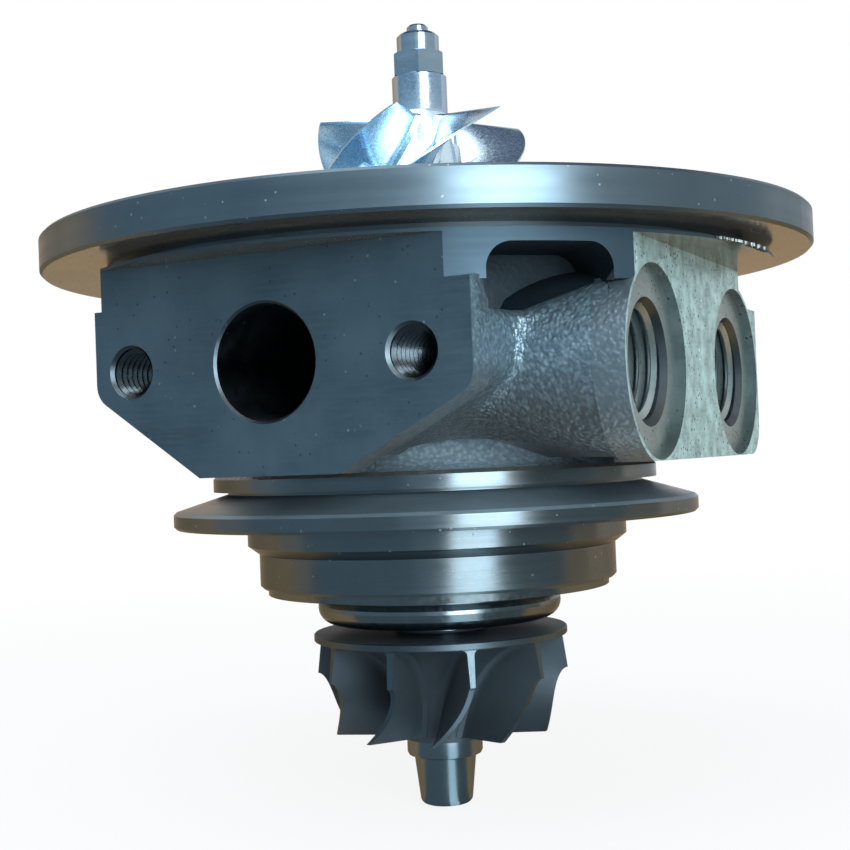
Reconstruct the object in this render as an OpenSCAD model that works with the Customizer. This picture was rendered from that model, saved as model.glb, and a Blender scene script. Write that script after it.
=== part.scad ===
// Turbocharger cartridge: a cast bearing housing, its rotor, and the bearings and seals between them.
// +Z runs along the shaft toward the compressor; the origin is on the axis, at mid-thickness of the back disc.
// The oil drain face looks along -Y and the coolant face about along +X.

/* [Back disc and deck] */
// Radius of the compressor back disc
disc_r = 54; // [52:0.5:58]
// Thickness of the back disc
disc_t = 4.9; // [4.5:0.1:5.5]
// Edge break on turned rims
edge_break = 0.4; // [0.2:0.1:0.6]
// Height of the turned undercut below the disc
undercut_h = 1.2; // [0.8:0.1:1.5]
// Radius at the bottom of the undercut
undercut_r = 44.5; // [43:0.5:46]
// Radius of the turned land on the front of the deck
land_r = 48.6; // [47.5:0.1:50]
// Radius of the deck behind the land
deck_r = 45; // [44.8:0.1:46]
// Height of the land and deck
land_h = 5.8; // [5:0.1:7]
// Thickness of the thin lip left above the milled faces
lip_t = 0.4; // [0.3:0.1:0.6]
// Depth of the wheel recess in the disc's top face
recess_d = 1.65; // [1.2:0.05:2]

/* [Cast body] */
// Radius of the cast barrel under the deck
barrel_r = 26.5; // [25:0.5:28]
// Height of the body from the deck down to the collar
body_h = 21.7; // [21:0.1:24]
// Height of the flared skirt above the collar
skirt_h = 7.2; // [6:0.1:9]
// Reach of the neck's fillet behind the drain pad
neck_drain_reach = 8; // [6:0.5:10]
// Reach of the neck's straight run behind the coolant boss
neck_port_reach = 12; // [10:0.5:14]
// Depth of the cast hollows on the hidden sides
gusset_depth = 5; // [3:0.5:7]
// Width of the pocket in the deck above the neck
pocket_w = 15.4; // [12:0.2:18]
// Height of the pocket
pocket_h = 7.2; // [6:0.2:8]
// Corner radius of the pocket
pocket_corner = 3; // [1.5:0.1:3.2]
// Radius from the axis to the pocket's inner wall
pocket_floor_r = 37; // [35:0.5:40]
// Direction of the pocket from the axis, in degrees
pocket_turn = -45.1; // [-50:0.1:-42]

/* [Drain pad] */
// Distance from the axis to the drain face
drain_face = 42; // [41:0.5:44]
// Reach of the drain pad from the axis to its left edge
drain_left_w = 25.6; // [25:0.2:26.6]
// Reach of the drain pad from the axis to its right edge
drain_right_w = 27.6; // [26.6:0.2:28.2]
// Thickness of the drain pad's plate
drain_plate_t = 4.5; // [4:0.5:6]
// Radius of the drain bore
drain_r = 7.05; // [6.5:0.05:8]
// Distance from the axis of one drain screw hole
drain_screw_x = 20; // [18.5:0.5:21]
// Radius of a drain screw's thread
drain_screw_r = 3; // [2.5:0.1:3.2]
// Depth of a drain screw hole
drain_screw_depth = 12; // [9:0.5:14]
// Half width of the pad's bottom edge
drain_foot_half_w = 10; // [8:0.5:12]
// Depth of the drain axis below the deck
drain_drop = 7.6; // [7:0.1:8.5]

/* [Coolant pad] */
// Distance from the axis to the coolant face
port_face = 40; // [39.5:0.5:42]
// Angle of the coolant face from square, in degrees
port_turn = 2; // [0:0.5:4]
// Distance between the two coolant ports
port_spacing = 37.5; // [36:0.5:39]
// Middle of the two ports, to the side of the axis
port_offset = -1.25; // [-2:0.25:1]
// Radius of a port's thread
port_r = 7; // [6:0.05:7.2]
// Depth of a port's tapped hole
port_depth = 13; // [11:0.5:15]
// Radius of a port's countersunk mouth
port_mouth_r = 7.8; // [7.5:0.1:8.4]
// Radius of the spot face round a port
port_spot_r = 11.8; // [11:0.1:12.2]
// Depth of the spot face
port_spot_d = 1.2; // [0.8:0.1:1.6]
// Distance from the axis to the pad's far edge
port_far_edge = 29.8; // [29.5:0.1:31]
// Thickness of the coolant pad's plate
port_plate_t = 6; // [5:0.5:8]
// Depth of the port axes below the deck
port_drop = 9.2; // [8.5:0.1:10]

/* [Oil feed] */
// Distance from the axis to the oil feed face
feed_face = 40; // [38:0.5:42]
// Radius of the oil feed boss
feed_boss_r = 9; // [8:0.5:10]
// Radius of the feed's thread
feed_r = 6; // [5:0.05:6.2]
// Depth of the feed's tapped hole
feed_depth = 12; // [10:0.5:14]
// Radius of the oil drillings
oil_way_r = 1.5; // [1:0.1:1.8]

/* [Turbine end] */
// Radius of the collar above the V-band flange
collar_r = 31.5; // [31:0.5:33]
// Height of the collar
collar_h = 1.75; // [1.5:0.05:2.5]
// Radius of the V-band flange
vband_r = 37.15; // [36:0.05:38.5]
// Height of the flange's tapered back
vband_taper_h = 2.6; // [2:0.1:3]
// Thickness of the flange's rim
vband_rim_t = 2.4; // [2:0.1:3]
// Radius of the first step below the flange
step_r = 27; // [26.5:0.1:28]
// Height of the first step
step_h = 4; // [3.5:0.1:4.5]
// Radius of the pilot that enters the turbine housing
pilot_r = 25.4; // [25:0.1:26]
// Height of the pilot
pilot_h = 4.8; // [4.5:0.1:6]

/* [Heat shield] */
// Radius of the shield's flange
shield_flange_r = 24.3; // [23.5:0.1:24.8]
// Thickness of the shield's sheet
sheet_t = 1; // [0.8:0.1:1.2]
// Outer radius of the shield's neck
shield_neck_r = 17.8; // [17.4:0.1:18]
// Length of the shield from its flange to its end
shield_h = 5.5; // [5.4:0.1:5.7]
// Radius of the rounded edge at the shield's end
shield_roll_r = 2.3; // [2.1:0.1:2.5]
// Radius of the hole that the shaft passes
shield_hole_r = 8; // [7.5:0.1:9]

/* [Shaft] */
// Radius of the journals
journal_r = 3.5; // [3.3:0.05:3.7]
// Radius of the thin end that carries the compressor wheel
stub_r = 2; // [1.8:0.05:2.2]
// Radius of the seal boss at the turbine end
boss_r = 6.5; // [6.2:0.1:7]
// Length of the seal boss
boss_l = 11.3; // [10.8:0.1:11.6]
// Radius of the plain tip above the thread
tip_r = 1.54; // [1.3:0.02:1.7]
// Length of the shaft above the nut
tip_l = 1.36; // [1:0.02:2]

/* [Bearings] */
// Radial running clearance inside a bush
bush_inner_gap = 0.03; // [0.02:0.01:0.05]
// Radial running clearance outside a bush
bush_outer_gap = 0.05; // [0.03:0.01:0.08]
// Outer radius of a bush
bush_r = 5.4; // [5.2:0.05:5.6]
// Length of a bush
bush_l = 5.6; // [5:0.1:6]
// Radius of a bush's oil holes
bush_hole_r = 0.8; // [0.6:0.05:1]
// Number of oil holes in a bush
bush_holes = 4; // [3:1:6]
// Distance between the middles of the two bushes
bush_spacing = 19.6; // [18:0.1:20]
// Thickness of a bearing clip
clip_t = 0.8; // [0.7:0.05:0.9]
// Radial depth of a clip in its groove
clip_groove_d = 0.6; // [0.5:0.05:0.7]
// Axial clearance between a bush and its clips
clip_gap = 0.1; // [0.05:0.01:0.15]

/* [Thrust pack and seals] */
// Thickness of the thrust bearing plate
thrust_t = 3; // [2.6:0.1:3.4]
// Radius of the thrust bearing plate
thrust_r = 14; // [13.5:0.1:14.5]
// Axial running clearance at each thrust face
thrust_gap = 0.05; // [0.03:0.01:0.08]
// Radius of the running faces
runner_r = 9; // [8.5:0.1:9.5]
// Thickness of each running face
runner_t = 1.6; // [1.3:0.1:1.8]
// Radius of the thrust collar's sleeve
sleeve_r = 5.5; // [5.2:0.05:5.8]
// Radius of the two pins of the thrust bearing
pin_r = 1; // [0.8:0.05:1.2]
// Thickness of the seal plate
seal_plate_t = 5.5; // [5.2:0.1:6]
// Radius of the seal plate
seal_plate_r = 17; // [16.5:0.1:17.5]
// Radius of the seal plate's bore
seal_bore_r = 6.5; // [6.3:0.05:6.8]
// Radial thickness of the O-ring
o_ring_d = 1.6; // [1.4:0.1:1.8]
// Thickness of the snap ring
snap_t = 1; // [0.8:0.05:1.1]
// Thickness of a piston ring
ring_t = 1.1; // [1:0.05:1.2]
// Radial width of a piston ring
ring_w = 1.1; // [0.9:0.05:1.2]

/* [Compressor wheel] */
// Radius of the wheel at its outlet
comp_out_r = 20.5; // [19.5:0.1:20.8]
// Radius of the blade tips at the inlet
comp_in_r = 14.9; // [14.5:0.1:16]
// Height of the inlet tips above the disc's top face
comp_in_h = 16.3; // [15:0.1:17]
// Height of a blade at the outlet
comp_out_h = 2.4; // [2.2:0.1:3.2]
// Radius of the hub at the nose
comp_nose_r = 3.95; // [3.8:0.05:4.2]
// Height of the hub's nose above the disc's top face
comp_hub_h = 23.25; // [22.5:0.05:25]
// Number of full blades, with as many splitters between them
comp_blades = 6; // [5:1:7]
// Angle a blade wraps round the hub, in degrees
comp_wrap = 87; // [70:1:95]
// Share of a full blade's length at which a splitter starts
splitter_start = 0.37; // [0.25:0.01:0.42]
// Direction of a full blade's inlet tip, in degrees
comp_turn = -74.5; // [-100:0.5:-40]

/* [Turbine wheel] */
// Radius of the wheel at its inlet
turb_in_r = 18.1; // [17.5:0.1:18.5]
// Height of the blades at the inlet
turb_in_h = 5; // [4.4:0.1:5.4]
// Radius of the blade tips at the outlet
turb_out_r = 15.5; // [15:0.1:16]
// Length of the blades along the axis
turb_blade_l = 13.1; // [12.5:0.1:14]
// Thickness of the back disc at its rim
turb_rim_t = 1; // [0.8:0.05:1.2]
// Radius of the hub below the blades
turb_hub_r = 5.4; // [5.2:0.1:5.8]
// Radius of the nose
turb_nose_r = 4.4; // [4.2:0.05:4.8]
// Length of the nose below the hub
turb_nose_l = 7; // [6:0.1:8]
// Number of blades
turb_blades = 10; // [9:1:12]
// Angle a blade wraps round the hub, in degrees
turb_wrap = 19; // [12:0.5:24]
// Direction of a blade's inlet edge, in degrees
turb_turn = -49.2; // [-70:0.2:-30]

/* [Shaft nut] */
// Width across the nut's flats
nut_af = 7; // [6.5:0.1:8]
// Height of the hexagon
nut_hex_h = 3.3; // [3:0.1:4]
// Radius of the round collar on the nut
nut_collar_r = 3.06; // [2.9:0.02:3.2]
// Height of the round collar
nut_collar_h = 2.9; // [2.5:0.1:3.5]

/* [Hidden] */
$fn = 96;
overrun = 1;
bond = 0.3;
slip = 0.02;
spring_gap_deg = 8;

// Levels along the axis, from the compressor side down
z_top = disc_t / 2;
z_under = -disc_t / 2;
z_land = z_under - undercut_h;
z_deck = z_land - land_h;
z_face_top = z_land - lip_t;
z_collar = z_deck - body_h;
z_vband = z_collar - collar_h;
z_vband_rim = z_vband - vband_taper_h;
z_vband_end = z_vband_rim - vband_rim_t;
z_step_end = z_vband_end - step_h;
z_pilot_end = z_step_end - pilot_h;
z_skirt = z_collar + skirt_h;

// Levels of the seals and the thrust pack
z_recess = z_top - recess_d;
snap_cover = 0.4;
z_seal_top = z_recess - snap_cover - snap_t;
z_seal_bot = z_seal_top - seal_plate_t;
deflector_t = 0.5;
z_thrust_top = z_seal_bot - deflector_t;
z_thrust_bot = z_thrust_top - thrust_t;
z_washer_top = z_thrust_bot - thrust_gap;
z_shoulder = z_washer_top - runner_t;
chamber_gap = 1.4;
z_chamber = z_shoulder - chamber_gap;
z_collar_face = z_thrust_top + thrust_gap;
z_collar_top = z_collar_face + runner_t;
wheel_gap = 0.5;
z_wheel_back = z_recess + wheel_gap;

// Levels of the bushes and their clips
clip_inset = 1;
z_bush_1 = z_chamber - clip_inset - clip_t - clip_gap - bush_l / 2;
z_bush_2 = z_bush_1 - bush_spacing;
clip_offset = bush_l / 2 + clip_gap + clip_t / 2;
clip_levels = [z_bush_1 + clip_offset, z_bush_1 - clip_offset, z_bush_2 + clip_offset, z_bush_2 - clip_offset];
bush_bore_r = bush_r + bush_outer_gap;
clip_out_r = bush_bore_r + clip_groove_d;
clip_shaft_gap = 0.8;
clip_in_r = journal_r + clip_shaft_gap;
z_bore_end = z_bush_2 - clip_offset - clip_t / 2 - clip_inset;

// Levels of the turbine end
boss_gap = 0.4;
z_boss_top = z_bore_end - boss_gap;
z_boss_end = z_boss_top - boss_l;
shield_clear = 0.7;
z_shield_end = z_pilot_end - shield_h;
z_nose = z_shield_end + sheet_t + shield_clear;
shield_band_h = 0.85;
shield_roll_in = 0.45;
z_shield_band = z_pilot_end - sheet_t - shield_band_h;
shield_roll_centre = [shield_neck_r - shield_roll_in - shield_roll_r, z_shield_end + shield_roll_r];
shield_roll_start = asin((z_shield_band - shield_roll_centre[1]) / shield_roll_r);
shield_neck_in = shield_roll_centre[0] + shield_roll_r * cos(shield_roll_start) - sheet_t;
seal_boss_gap = 0.2;
boss_bore_r = boss_r + seal_boss_gap;
turb_ring_drop = 0.8;
z_turb_ring = z_pilot_end - turb_ring_drop;
weld_h = 0.3;
z_turb_back = z_boss_end - weld_h;
z_turb_face = z_turb_back - turb_rim_t;
hub_run = 1.4;
z_turb_hub = z_turb_face - turb_blade_l - hub_run;
turb_hub_l = 2.35;
z_turb_step = z_turb_hub - turb_hub_l;
z_turb_nose = z_turb_step - turb_nose_l;

// Levels of the compressor end
z_comp_rim = z_top;
z_comp_in = z_top + comp_in_h;
z_comp_nose = z_top + comp_hub_h;
z_nut_top = z_comp_nose + nut_hex_h + nut_collar_h;
z_shaft_top = z_nut_top + tip_l;
wheel_bore_r = stub_r + slip;

// Places on the drain and coolant pads
z_drain = z_deck - drain_drop;
z_port = z_deck - port_drop;
port_sides = [port_offset - port_spacing / 2, port_offset + port_spacing / 2];
port_boss_wall = 0.5;
port_boss_r = port_spot_r + port_boss_wall;
near_boss_l = 4;
pad_foot_gap = 0.6;
z_pad_foot = z_collar + pad_foot_gap;
shoulder_drop = 2.4;
drain_shoulder_z = z_drain - shoulder_drop;
right_shoulder_drop = 0.8;
right_shoulder_z = drain_shoulder_z - right_shoulder_drop;

// Seats shared by a piece and the bore that holds it
snap_groove_d = 1.2;
pin_inset = 2.2;
thrust_pin_x = thrust_r - pin_inset;
pin_depth = 2.5;
thrust_way_r = 0.9;
thrust_way_inset = 2;
thrust_way_y = thrust_r - thrust_way_inset;
runner_gap = 1.2;
ring_groove_d = 1.3;
comp_ring_rise = 1.9;
z_comp_ring = (z_seal_top + z_seal_bot) / 2 + comp_ring_rise;

// Points of an arc in a plane, from angle a to angle b
function arc(centre, r, a, b, steps = 8) =
    [for (i = [0:steps]) centre + r * [cos(a + (b - a) * i / steps), sin(a + (b - a) * i / steps)]];

// Circle through two points of a plan that hollows the line between them by the given depth
function hollow_r(p, q, depth) = (pow(norm(q - p) / 2, 2) + depth * depth) / (2 * depth);
function hollow_out(p, q) = [(q - p)[1], -(q - p)[0]] / norm(q - p);
function hollow_centre(p, q, depth) = (p + q) / 2 + hollow_out(p, q) * (hollow_r(p, q, depth) - depth);

// A closed solid through rings of points, each ring clockwise from above and the rings running down
module loft(rings) {
    n = len(rings[0]);
    last = n * (len(rings) - 1);
    sides = [for (j = [0:len(rings) - 2], k = [0:n - 1]) each [
        [n * j + k, n * j + n + k, n * j + (k + 1) % n],
        [n * j + (k + 1) % n, n * j + n + k, n * j + n + (k + 1) % n]]];
    caps = [for (k = [0:n - 3]) each [[n - 1, k, k + 1], [last + n - 1, last + k + 1, last + k]]];
    polyhedron([for (r = rings) each r], concat(sides, caps));
}

// Place in the plan of a point on the coolant pad, by its depth and its side
function port_plan(depth, side) =
    [depth * cos(port_turn) - side * sin(port_turn), depth * sin(port_turn) + side * cos(port_turn)];

// A solid ring, with an optional split at the front
module ring(r_out, r_in, z_low, height, split_deg = 0) {
    translate([0, 0, z_low])
        difference() {
            cylinder(r = r_out, h = height);
            translate([0, 0, -overrun])
                cylinder(r = r_in, h = height + 2 * overrun);
            if (split_deg > 0)
                translate([0, -r_out * sin(split_deg) / 2, -overrun])
                    cube([r_out + overrun, r_out * sin(split_deg), height + 2 * overrun]);
        }
}

// A cylinder that runs outward along -Y, +Y or the coolant pad's normal
module toward_drain(x, z, r, from, to) {
    translate([x, -from, z])
        rotate([90, 0, 0])
            cylinder(r = r, h = to - from);
}

module toward_feed(z, r, from, to) {
    translate([0, from, z])
        rotate([-90, 0, 0])
            cylinder(r = r, h = to - from);
}

module toward_port(side, z, r, from, to, r_end = 0) {
    rotate([0, 0, port_turn])
        translate([from, side, z])
            rotate([0, 90, 0])
                cylinder(r1 = r, r2 = r_end > 0 ? r_end : r, h = to - from);
}

// Everything on the housing that is turned about the axis
module housing_turning() {
    skirt_steps = 8;
    skirt_step = 0.5;
    skirt_out = collar_r - skirt_step - barrel_r;
    skirt = [for (i = [0:skirt_steps])
        [barrel_r + skirt_out * (1 - cos(90 * i / skirt_steps)),
         z_skirt - (skirt_h - skirt_step) * sin(90 * i / skirt_steps)]];
    nose_r = 11;
    spigot_r = shield_neck_in - bond;
    spigot_h = 1.5;
    vband_relief = 2;
    neck_r = collar_r - vband_relief;
    step_chamfer = 1.2;
    rotate_extrude()
        polygon(concat(
            [[0, z_top], [disc_r - edge_break, z_top], [disc_r, z_top - edge_break],
             [disc_r, z_under + edge_break], [disc_r - edge_break, z_under],
             [undercut_r, z_under], [undercut_r, z_land],
             [deck_r, z_land], [deck_r, z_deck], [barrel_r, z_deck]],
            skirt,
            [[collar_r, z_collar], [collar_r, z_vband], [neck_r, z_vband], [neck_r, z_vband - edge_break],
             [vband_r - edge_break, z_vband_rim], [vband_r, z_vband_rim - edge_break],
             [vband_r, z_vband_end + edge_break], [vband_r - edge_break, z_vband_end],
             [step_r, z_vband_end], [step_r, z_step_end + step_chamfer], [pilot_r, z_step_end],
             [pilot_r, z_pilot_end + edge_break], [pilot_r - edge_break, z_pilot_end],
             [spigot_r, z_pilot_end], [spigot_r, z_pilot_end - spigot_h],
             [nose_r, z_pilot_end - spigot_h], [nose_r, z_nose], [0, z_nose]]));
}

// The turned land on the front of the deck, from the drain face's far edge to the coolant face's far edge
module deck_land() {
    land_left_x = sqrt(land_r * land_r - drain_face * drain_face);
    land_rear_y = sqrt(deck_r * deck_r - port_face * port_face);
    intersection() {
        translate([0, 0, z_deck])
            cylinder(r = land_r, h = land_h);
        translate([-land_left_x, -disc_r, z_deck - overrun])
            cube([2 * disc_r, disc_r + land_rear_y, land_h + 2 * overrun]);
    }
}

// The flange that bolts to the drain pipe, with the cast duct and screw bosses behind it
module drain_pad() {
    corner_r = 3;
    side_top = z_deck + bond;
    function pad_side(reach, level) = let (
            slope = atan2(level - z_pad_foot, reach - drain_foot_half_w),
            corner_z = level + corner_r * tan(slope / 2))
        arc([reach - corner_r, corner_z], corner_r, 0, slope - 90, 6);
    duct_wall = 4.7;
    duct_r = drain_r + duct_wall;
    screw_boss_wall = 1.9;
    screw_boss_r = drain_screw_r + screw_boss_wall;
    right_side = pad_side(drain_right_w, right_shoulder_z);
    left_side = pad_side(drain_left_w, drain_shoulder_z);
    outline = concat(
        [[drain_right_w, side_top]], right_side,
        [[drain_foot_half_w, z_pad_foot], [-drain_foot_half_w, z_pad_foot]],
        [for (i = [len(left_side) - 1:-1:0]) [-left_side[i][0], left_side[i][1]]],
        [[-drain_left_w, side_top]]);
    translate([0, -drain_face + drain_plate_t, 0])
        rotate([90, 0, 0])
            linear_extrude(drain_plate_t)
                polygon(outline);
    toward_drain(0, z_drain, duct_r, 0, drain_face - overrun);
    for (x = [-drain_screw_x, drain_screw_x]) {
        toward_drain(x, z_drain, screw_boss_r, drain_face - drain_screw_depth, drain_face - overrun);
        translate([x, drain_screw_depth - drain_face, z_drain])
            sphere(r = screw_boss_r);
    }
}

// The face that takes the two coolant unions, with a boss behind each port
module coolant_pad() {
    foot_corner = 5;
    hole_floor = 3;
    boss_roots = [port_face - near_boss_l, port_face - port_depth - hole_floor];
    for (k = [0, 1])
        intersection() {
            toward_port(port_sides[k], z_port, port_boss_r, boss_roots[k], port_face);
            rotate([0, 0, port_turn])
                translate([0, -disc_r, z_pad_foot])
                    cube([disc_r, disc_r + port_far_edge, -z_pad_foot]);
        }
    far_edge = [port_far_edge, z_deck + bond];
    foot_centre = [port_far_edge - foot_corner, z_pad_foot + foot_corner];
    pad = concat(
        [[port_sides[0], z_deck + bond], far_edge],
        arc(foot_centre, foot_corner, 0, -90, 6),
        [[port_sides[0], z_pad_foot]]);
    rotate([0, 0, port_turn])
        translate([port_face - port_plate_t, 0, 0])
            rotate([90, 0, 90])
                linear_extrude(port_plate_t)
                    polygon(pad);
}

// The boss on the hidden side that takes the oil feed union
module feed_pad() {
    toward_feed(z_bush_1, feed_boss_r, 0, feed_face);
}

// Cast neck from the drain pad's edge to the near coolant boss: curves that leave both of them square
module neck() {
    columns = 10;
    rows = 10;
    bend = 0.45;
    inset = 2;
    core_r = 4;
    edge_y = -drain_face + drain_plate_t - overrun;
    skin_r = port_boss_r - bond;
    skin_depth = port_face - near_boss_l + overrun;
    skin_top = z_deck + 1.5 * bond;
    boss_from = 180 - asin((skin_top - z_port) / skin_r);
    boss_to = 250;
    foot_in = 2.5;
    foot_up = 2.2;
    drain_tuck = 10;
    port_tuck = 7;
    arch = 4;
    top = [drain_right_w - inset, edge_y, skin_top];
    shoulder = [drain_right_w - inset, edge_y, drain_shoulder_z];
    foot = [drain_foot_half_w + foot_in, edge_y, z_pad_foot + foot_up];
    function drain_edge(v) = v < bend ? top + (shoulder - top) * v / bend
        : shoulder + (foot - shoulder) * (v - bend) / (1 - bend);
    function boss_edge(v, depth) = let (a = boss_from + (boss_to - boss_from) * v)
        concat(port_plan(depth, port_sides[0] + skin_r * cos(a)), [z_port + skin_r * sin(a)]);
    function behind_drain(v) = drain_edge(v) + [0, neck_drain_reach + drain_tuck * v * v, arch * v * v];
    function behind_boss(v) = boss_edge(v, skin_depth - neck_port_reach - port_tuck * v * v)
        + [0, 0, arch * v * v];
    function skin(u, v) = pow(1 - u, 3) * drain_edge(v) + 3 * u * pow(1 - u, 2) * behind_drain(v)
        + 3 * u * u * (1 - u) * behind_boss(v) + pow(u, 3) * boss_edge(v, skin_depth);
    function core(v) = [core_r * cos(pocket_turn), core_r * sin(pocket_turn),
                        (drain_edge(v)[2] + boss_edge(v, skin_depth)[2]) / 2];
    loft([for (j = [0:rows]) concat(
        [for (i = [columns:-1:0]) skin(i / columns, j / rows)], [core(j / rows)])]);
}

// Cast walls on the hidden sides that join the pads to the barrel, hollowed between them and drawn in below
module hidden_walls() {
    root_in = 2;
    drain_left = [-drain_left_w + root_in, -drain_face + drain_plate_t - root_in];
    barrel_left = [-barrel_r + root_in, 0];
    port_rear = port_plan(port_face - port_plate_t + root_in, port_far_edge - root_in);
    barrel_rear = [0, barrel_r - root_in];
    wall_top = z_deck + 2 * bond;
    rim = [land_r - 4, drain_shoulder_z - 1];
    waist = [barrel_r + 5, z_skirt - 2.2];
    tuck_z = z_skirt - 4;
    intersection() {
        translate([0, 0, z_collar])
            linear_extrude(wall_top - z_collar)
                union() {
                    wall_plan(barrel_left, drain_left, gusset_depth);
                    wall_plan(port_rear, barrel_rear, gusset_depth);
                }
        rotate_extrude()
            polygon([[0, wall_top], [disc_r, wall_top], [disc_r, drain_shoulder_z], rim, waist,
                     [barrel_r, tuck_z], [0, tuck_z]]);
    }
}

// Plan of one wall: the triangle from the axis to two points, hollowed between them
module wall_plan(p, q, depth) {
    difference() {
        polygon([[0, 0], p, q]);
        translate(hollow_centre(p, q, depth))
            circle(r = hollow_r(p, q, depth));
    }
}

// The milled drain and coolant faces, cut below the thin lip
module face_cuts() {
    reach = 2 * disc_r;
    height = z_face_top - z_collar;
    translate([-disc_r, -drain_face - reach, z_collar])
        cube([reach, reach, height]);
    rotate([0, 0, port_turn])
        translate([port_face, -disc_r, z_collar])
            cube([reach, reach, height]);
    translate([-disc_r, feed_face, z_collar])
        cube([reach, reach, height]);
}

// The cast pocket under the deck, open to the neck, with the near port's round boss left standing in its corner
module neck_pocket() {
    pocket_cover = 1.65;
    pocket_top = z_land - pocket_cover;
    half_w = pocket_w / 2;
    low = pocket_top - pocket_h;
    shoulder_wall = 0.8;
    shoulder_l = 16;
    difference() {
        rotate([0, 0, pocket_turn])
            translate([pocket_floor_r, 0, 0])
                rotate([90, 0, 90])
                    linear_extrude(disc_r - pocket_floor_r)
                        union() {
                            translate([-half_w + pocket_corner, low])
                                square([pocket_w - 2 * pocket_corner, pocket_h]);
                            translate([-half_w, low + pocket_corner])
                                square([pocket_w, pocket_h - 2 * pocket_corner]);
                            for (x = [-1, 1], z = [low + pocket_corner, pocket_top - pocket_corner])
                                translate([x * (half_w - pocket_corner), z])
                                    circle(r = pocket_corner);
                        }
        toward_port(port_sides[0], z_port, port_boss_r - shoulder_wall,
                    port_face - shoulder_l, port_face + overrun);
    }
}

// Seats of the seals, thrust pack, bushes and shaft, bored from the compressor side
module housing_bore() {
    wheel_side_gap = 0.7;
    recess_r = comp_out_r + wheel_side_gap;
    snap_seat_r = seal_plate_r + snap_groove_d;
    chamber_side_gap = 1;
    chamber_r = runner_r + chamber_side_gap;
    rotate_extrude()
        polygon([[0, z_top + overrun], [recess_r, z_top + overrun], [recess_r, z_recess],
                 [seal_plate_r + slip, z_recess], [seal_plate_r + slip, z_seal_top + snap_t + slip],
                 [snap_seat_r, z_seal_top + snap_t + slip], [snap_seat_r, z_seal_top - slip],
                 [seal_plate_r + slip, z_seal_top - slip], [seal_plate_r + slip, z_thrust_top],
                 [thrust_r + slip, z_thrust_top], [thrust_r + slip, z_thrust_bot],
                 [chamber_r, z_thrust_bot], [chamber_r, z_chamber],
                 [bush_bore_r, z_chamber], [bush_bore_r, z_bore_end],
                 [boss_bore_r, z_bore_end], [boss_bore_r, z_nose - overrun], [0, z_nose - overrun]]);
    for (z = clip_levels)
        ring(clip_out_r + slip, bush_bore_r - bond, z - clip_t / 2 - slip, clip_t + 2 * slip);
    for (x = [-1, 1])
        translate([x * thrust_pin_x, 0, z_thrust_bot - pin_depth])
            cylinder(r = pin_r + slip, h = pin_depth + overrun);
}

// Drain bore, screw holes and the oil chamber between the bushes
module drain_passage() {
    mouth = 0.3;
    screw_mouth = 0.4;
    slot_half_w = drain_r + bond;
    bush_wall = 2.5;
    slot_inner = bush_bore_r + bush_wall;
    slot_outer = 20;
    slot_cover = 0.5;
    slot_top = z_thrust_bot - slot_cover;
    slot_low = z_bush_2 + clip_offset + clip_t;
    window_half_w = 3;
    window_top = z_bush_1 - clip_offset - clip_t;
    toward_drain(0, z_drain, drain_r, slot_outer - overrun, drain_face + overrun);
    translate([0, -drain_face, z_drain])
        rotate([-90, 0, 0])
            cylinder(r1 = drain_r + mouth, r2 = drain_r, h = mouth);
    translate([-slot_half_w, -slot_outer, slot_low])
        cube([2 * slot_half_w, slot_outer - slot_inner, slot_top - slot_low]);
    translate([-window_half_w, -slot_inner - overrun, slot_low])
        cube([2 * window_half_w, slot_inner + overrun, window_top - slot_low]);
    for (x = [-drain_screw_x, drain_screw_x]) {
        toward_drain(x, z_drain, drain_screw_r, drain_face - drain_screw_depth, drain_face + overrun);
        translate([x, -drain_face, z_drain])
            rotate([-90, 0, 0])
                cylinder(r1 = drain_screw_r + screw_mouth, r2 = drain_screw_r, h = screw_mouth);
    }
}

// Coolant ports and the jacket that joins them round the turbine side
module coolant_passages() {
    jacket_from = -48;
    jacket_sweep = 104;
    jacket_in_r = 13.5;
    jacket_out_r = 22;
    jacket_h = 8;
    passage_r = 4.2;
    passage_end = 13;
    mouth = port_mouth_r - port_r;
    for (side = port_sides) {
        toward_port(side, z_port, port_spot_r, port_face - port_spot_d, port_face + overrun);
        toward_port(side, z_port, port_r, port_face - port_depth, port_face);
        toward_port(side, z_port, passage_r, passage_end, port_face - port_depth + overrun);
        toward_port(side, z_port, port_r,
                    port_face - port_spot_d - mouth, port_face - port_spot_d, port_mouth_r);
    }
    rotate([0, 0, jacket_from])
        rotate_extrude(angle = jacket_sweep)
            translate([jacket_in_r, z_port - jacket_h])
                square([jacket_out_r - jacket_in_r, jacket_h]);
}

// Oil feed port and the drillings to both bushes and the thrust bearing
module feed_passages() {
    mouth = 0.9;
    meet_in = 4;
    meet_y = feed_face - feed_depth - meet_in;
    toward_feed(z_bush_1, feed_r, feed_face - feed_depth, feed_face + overrun);
    translate([0, feed_face - mouth, z_bush_1])
        rotate([-90, 0, 0])
            cylinder(r1 = feed_r, r2 = feed_r + mouth, h = mouth);
    toward_feed(z_bush_1, oil_way_r, journal_r, feed_face - feed_depth + overrun);
    run = [0, bush_r - meet_y, z_bush_2 - z_bush_1];
    translate([0, meet_y, z_bush_1])
        rotate([90 - atan2(run[2], -run[1]), 0, 0])
            cylinder(r = oil_way_r, h = norm(run));
    translate([0, thrust_way_y, z_bush_1])
        cylinder(r = thrust_way_r, h = z_thrust_bot - z_bush_1 + bond);
}

module bearing_housing() {
    color("slategray")
        difference() {
            union() {
                housing_turning();
                deck_land();
                drain_pad();
                coolant_pad();
                feed_pad();
                neck();
                hidden_walls();
            }
            face_cuts();
            neck_pocket();
            housing_bore();
            drain_passage();
            coolant_passages();
            feed_passages();
        }
}

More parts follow.
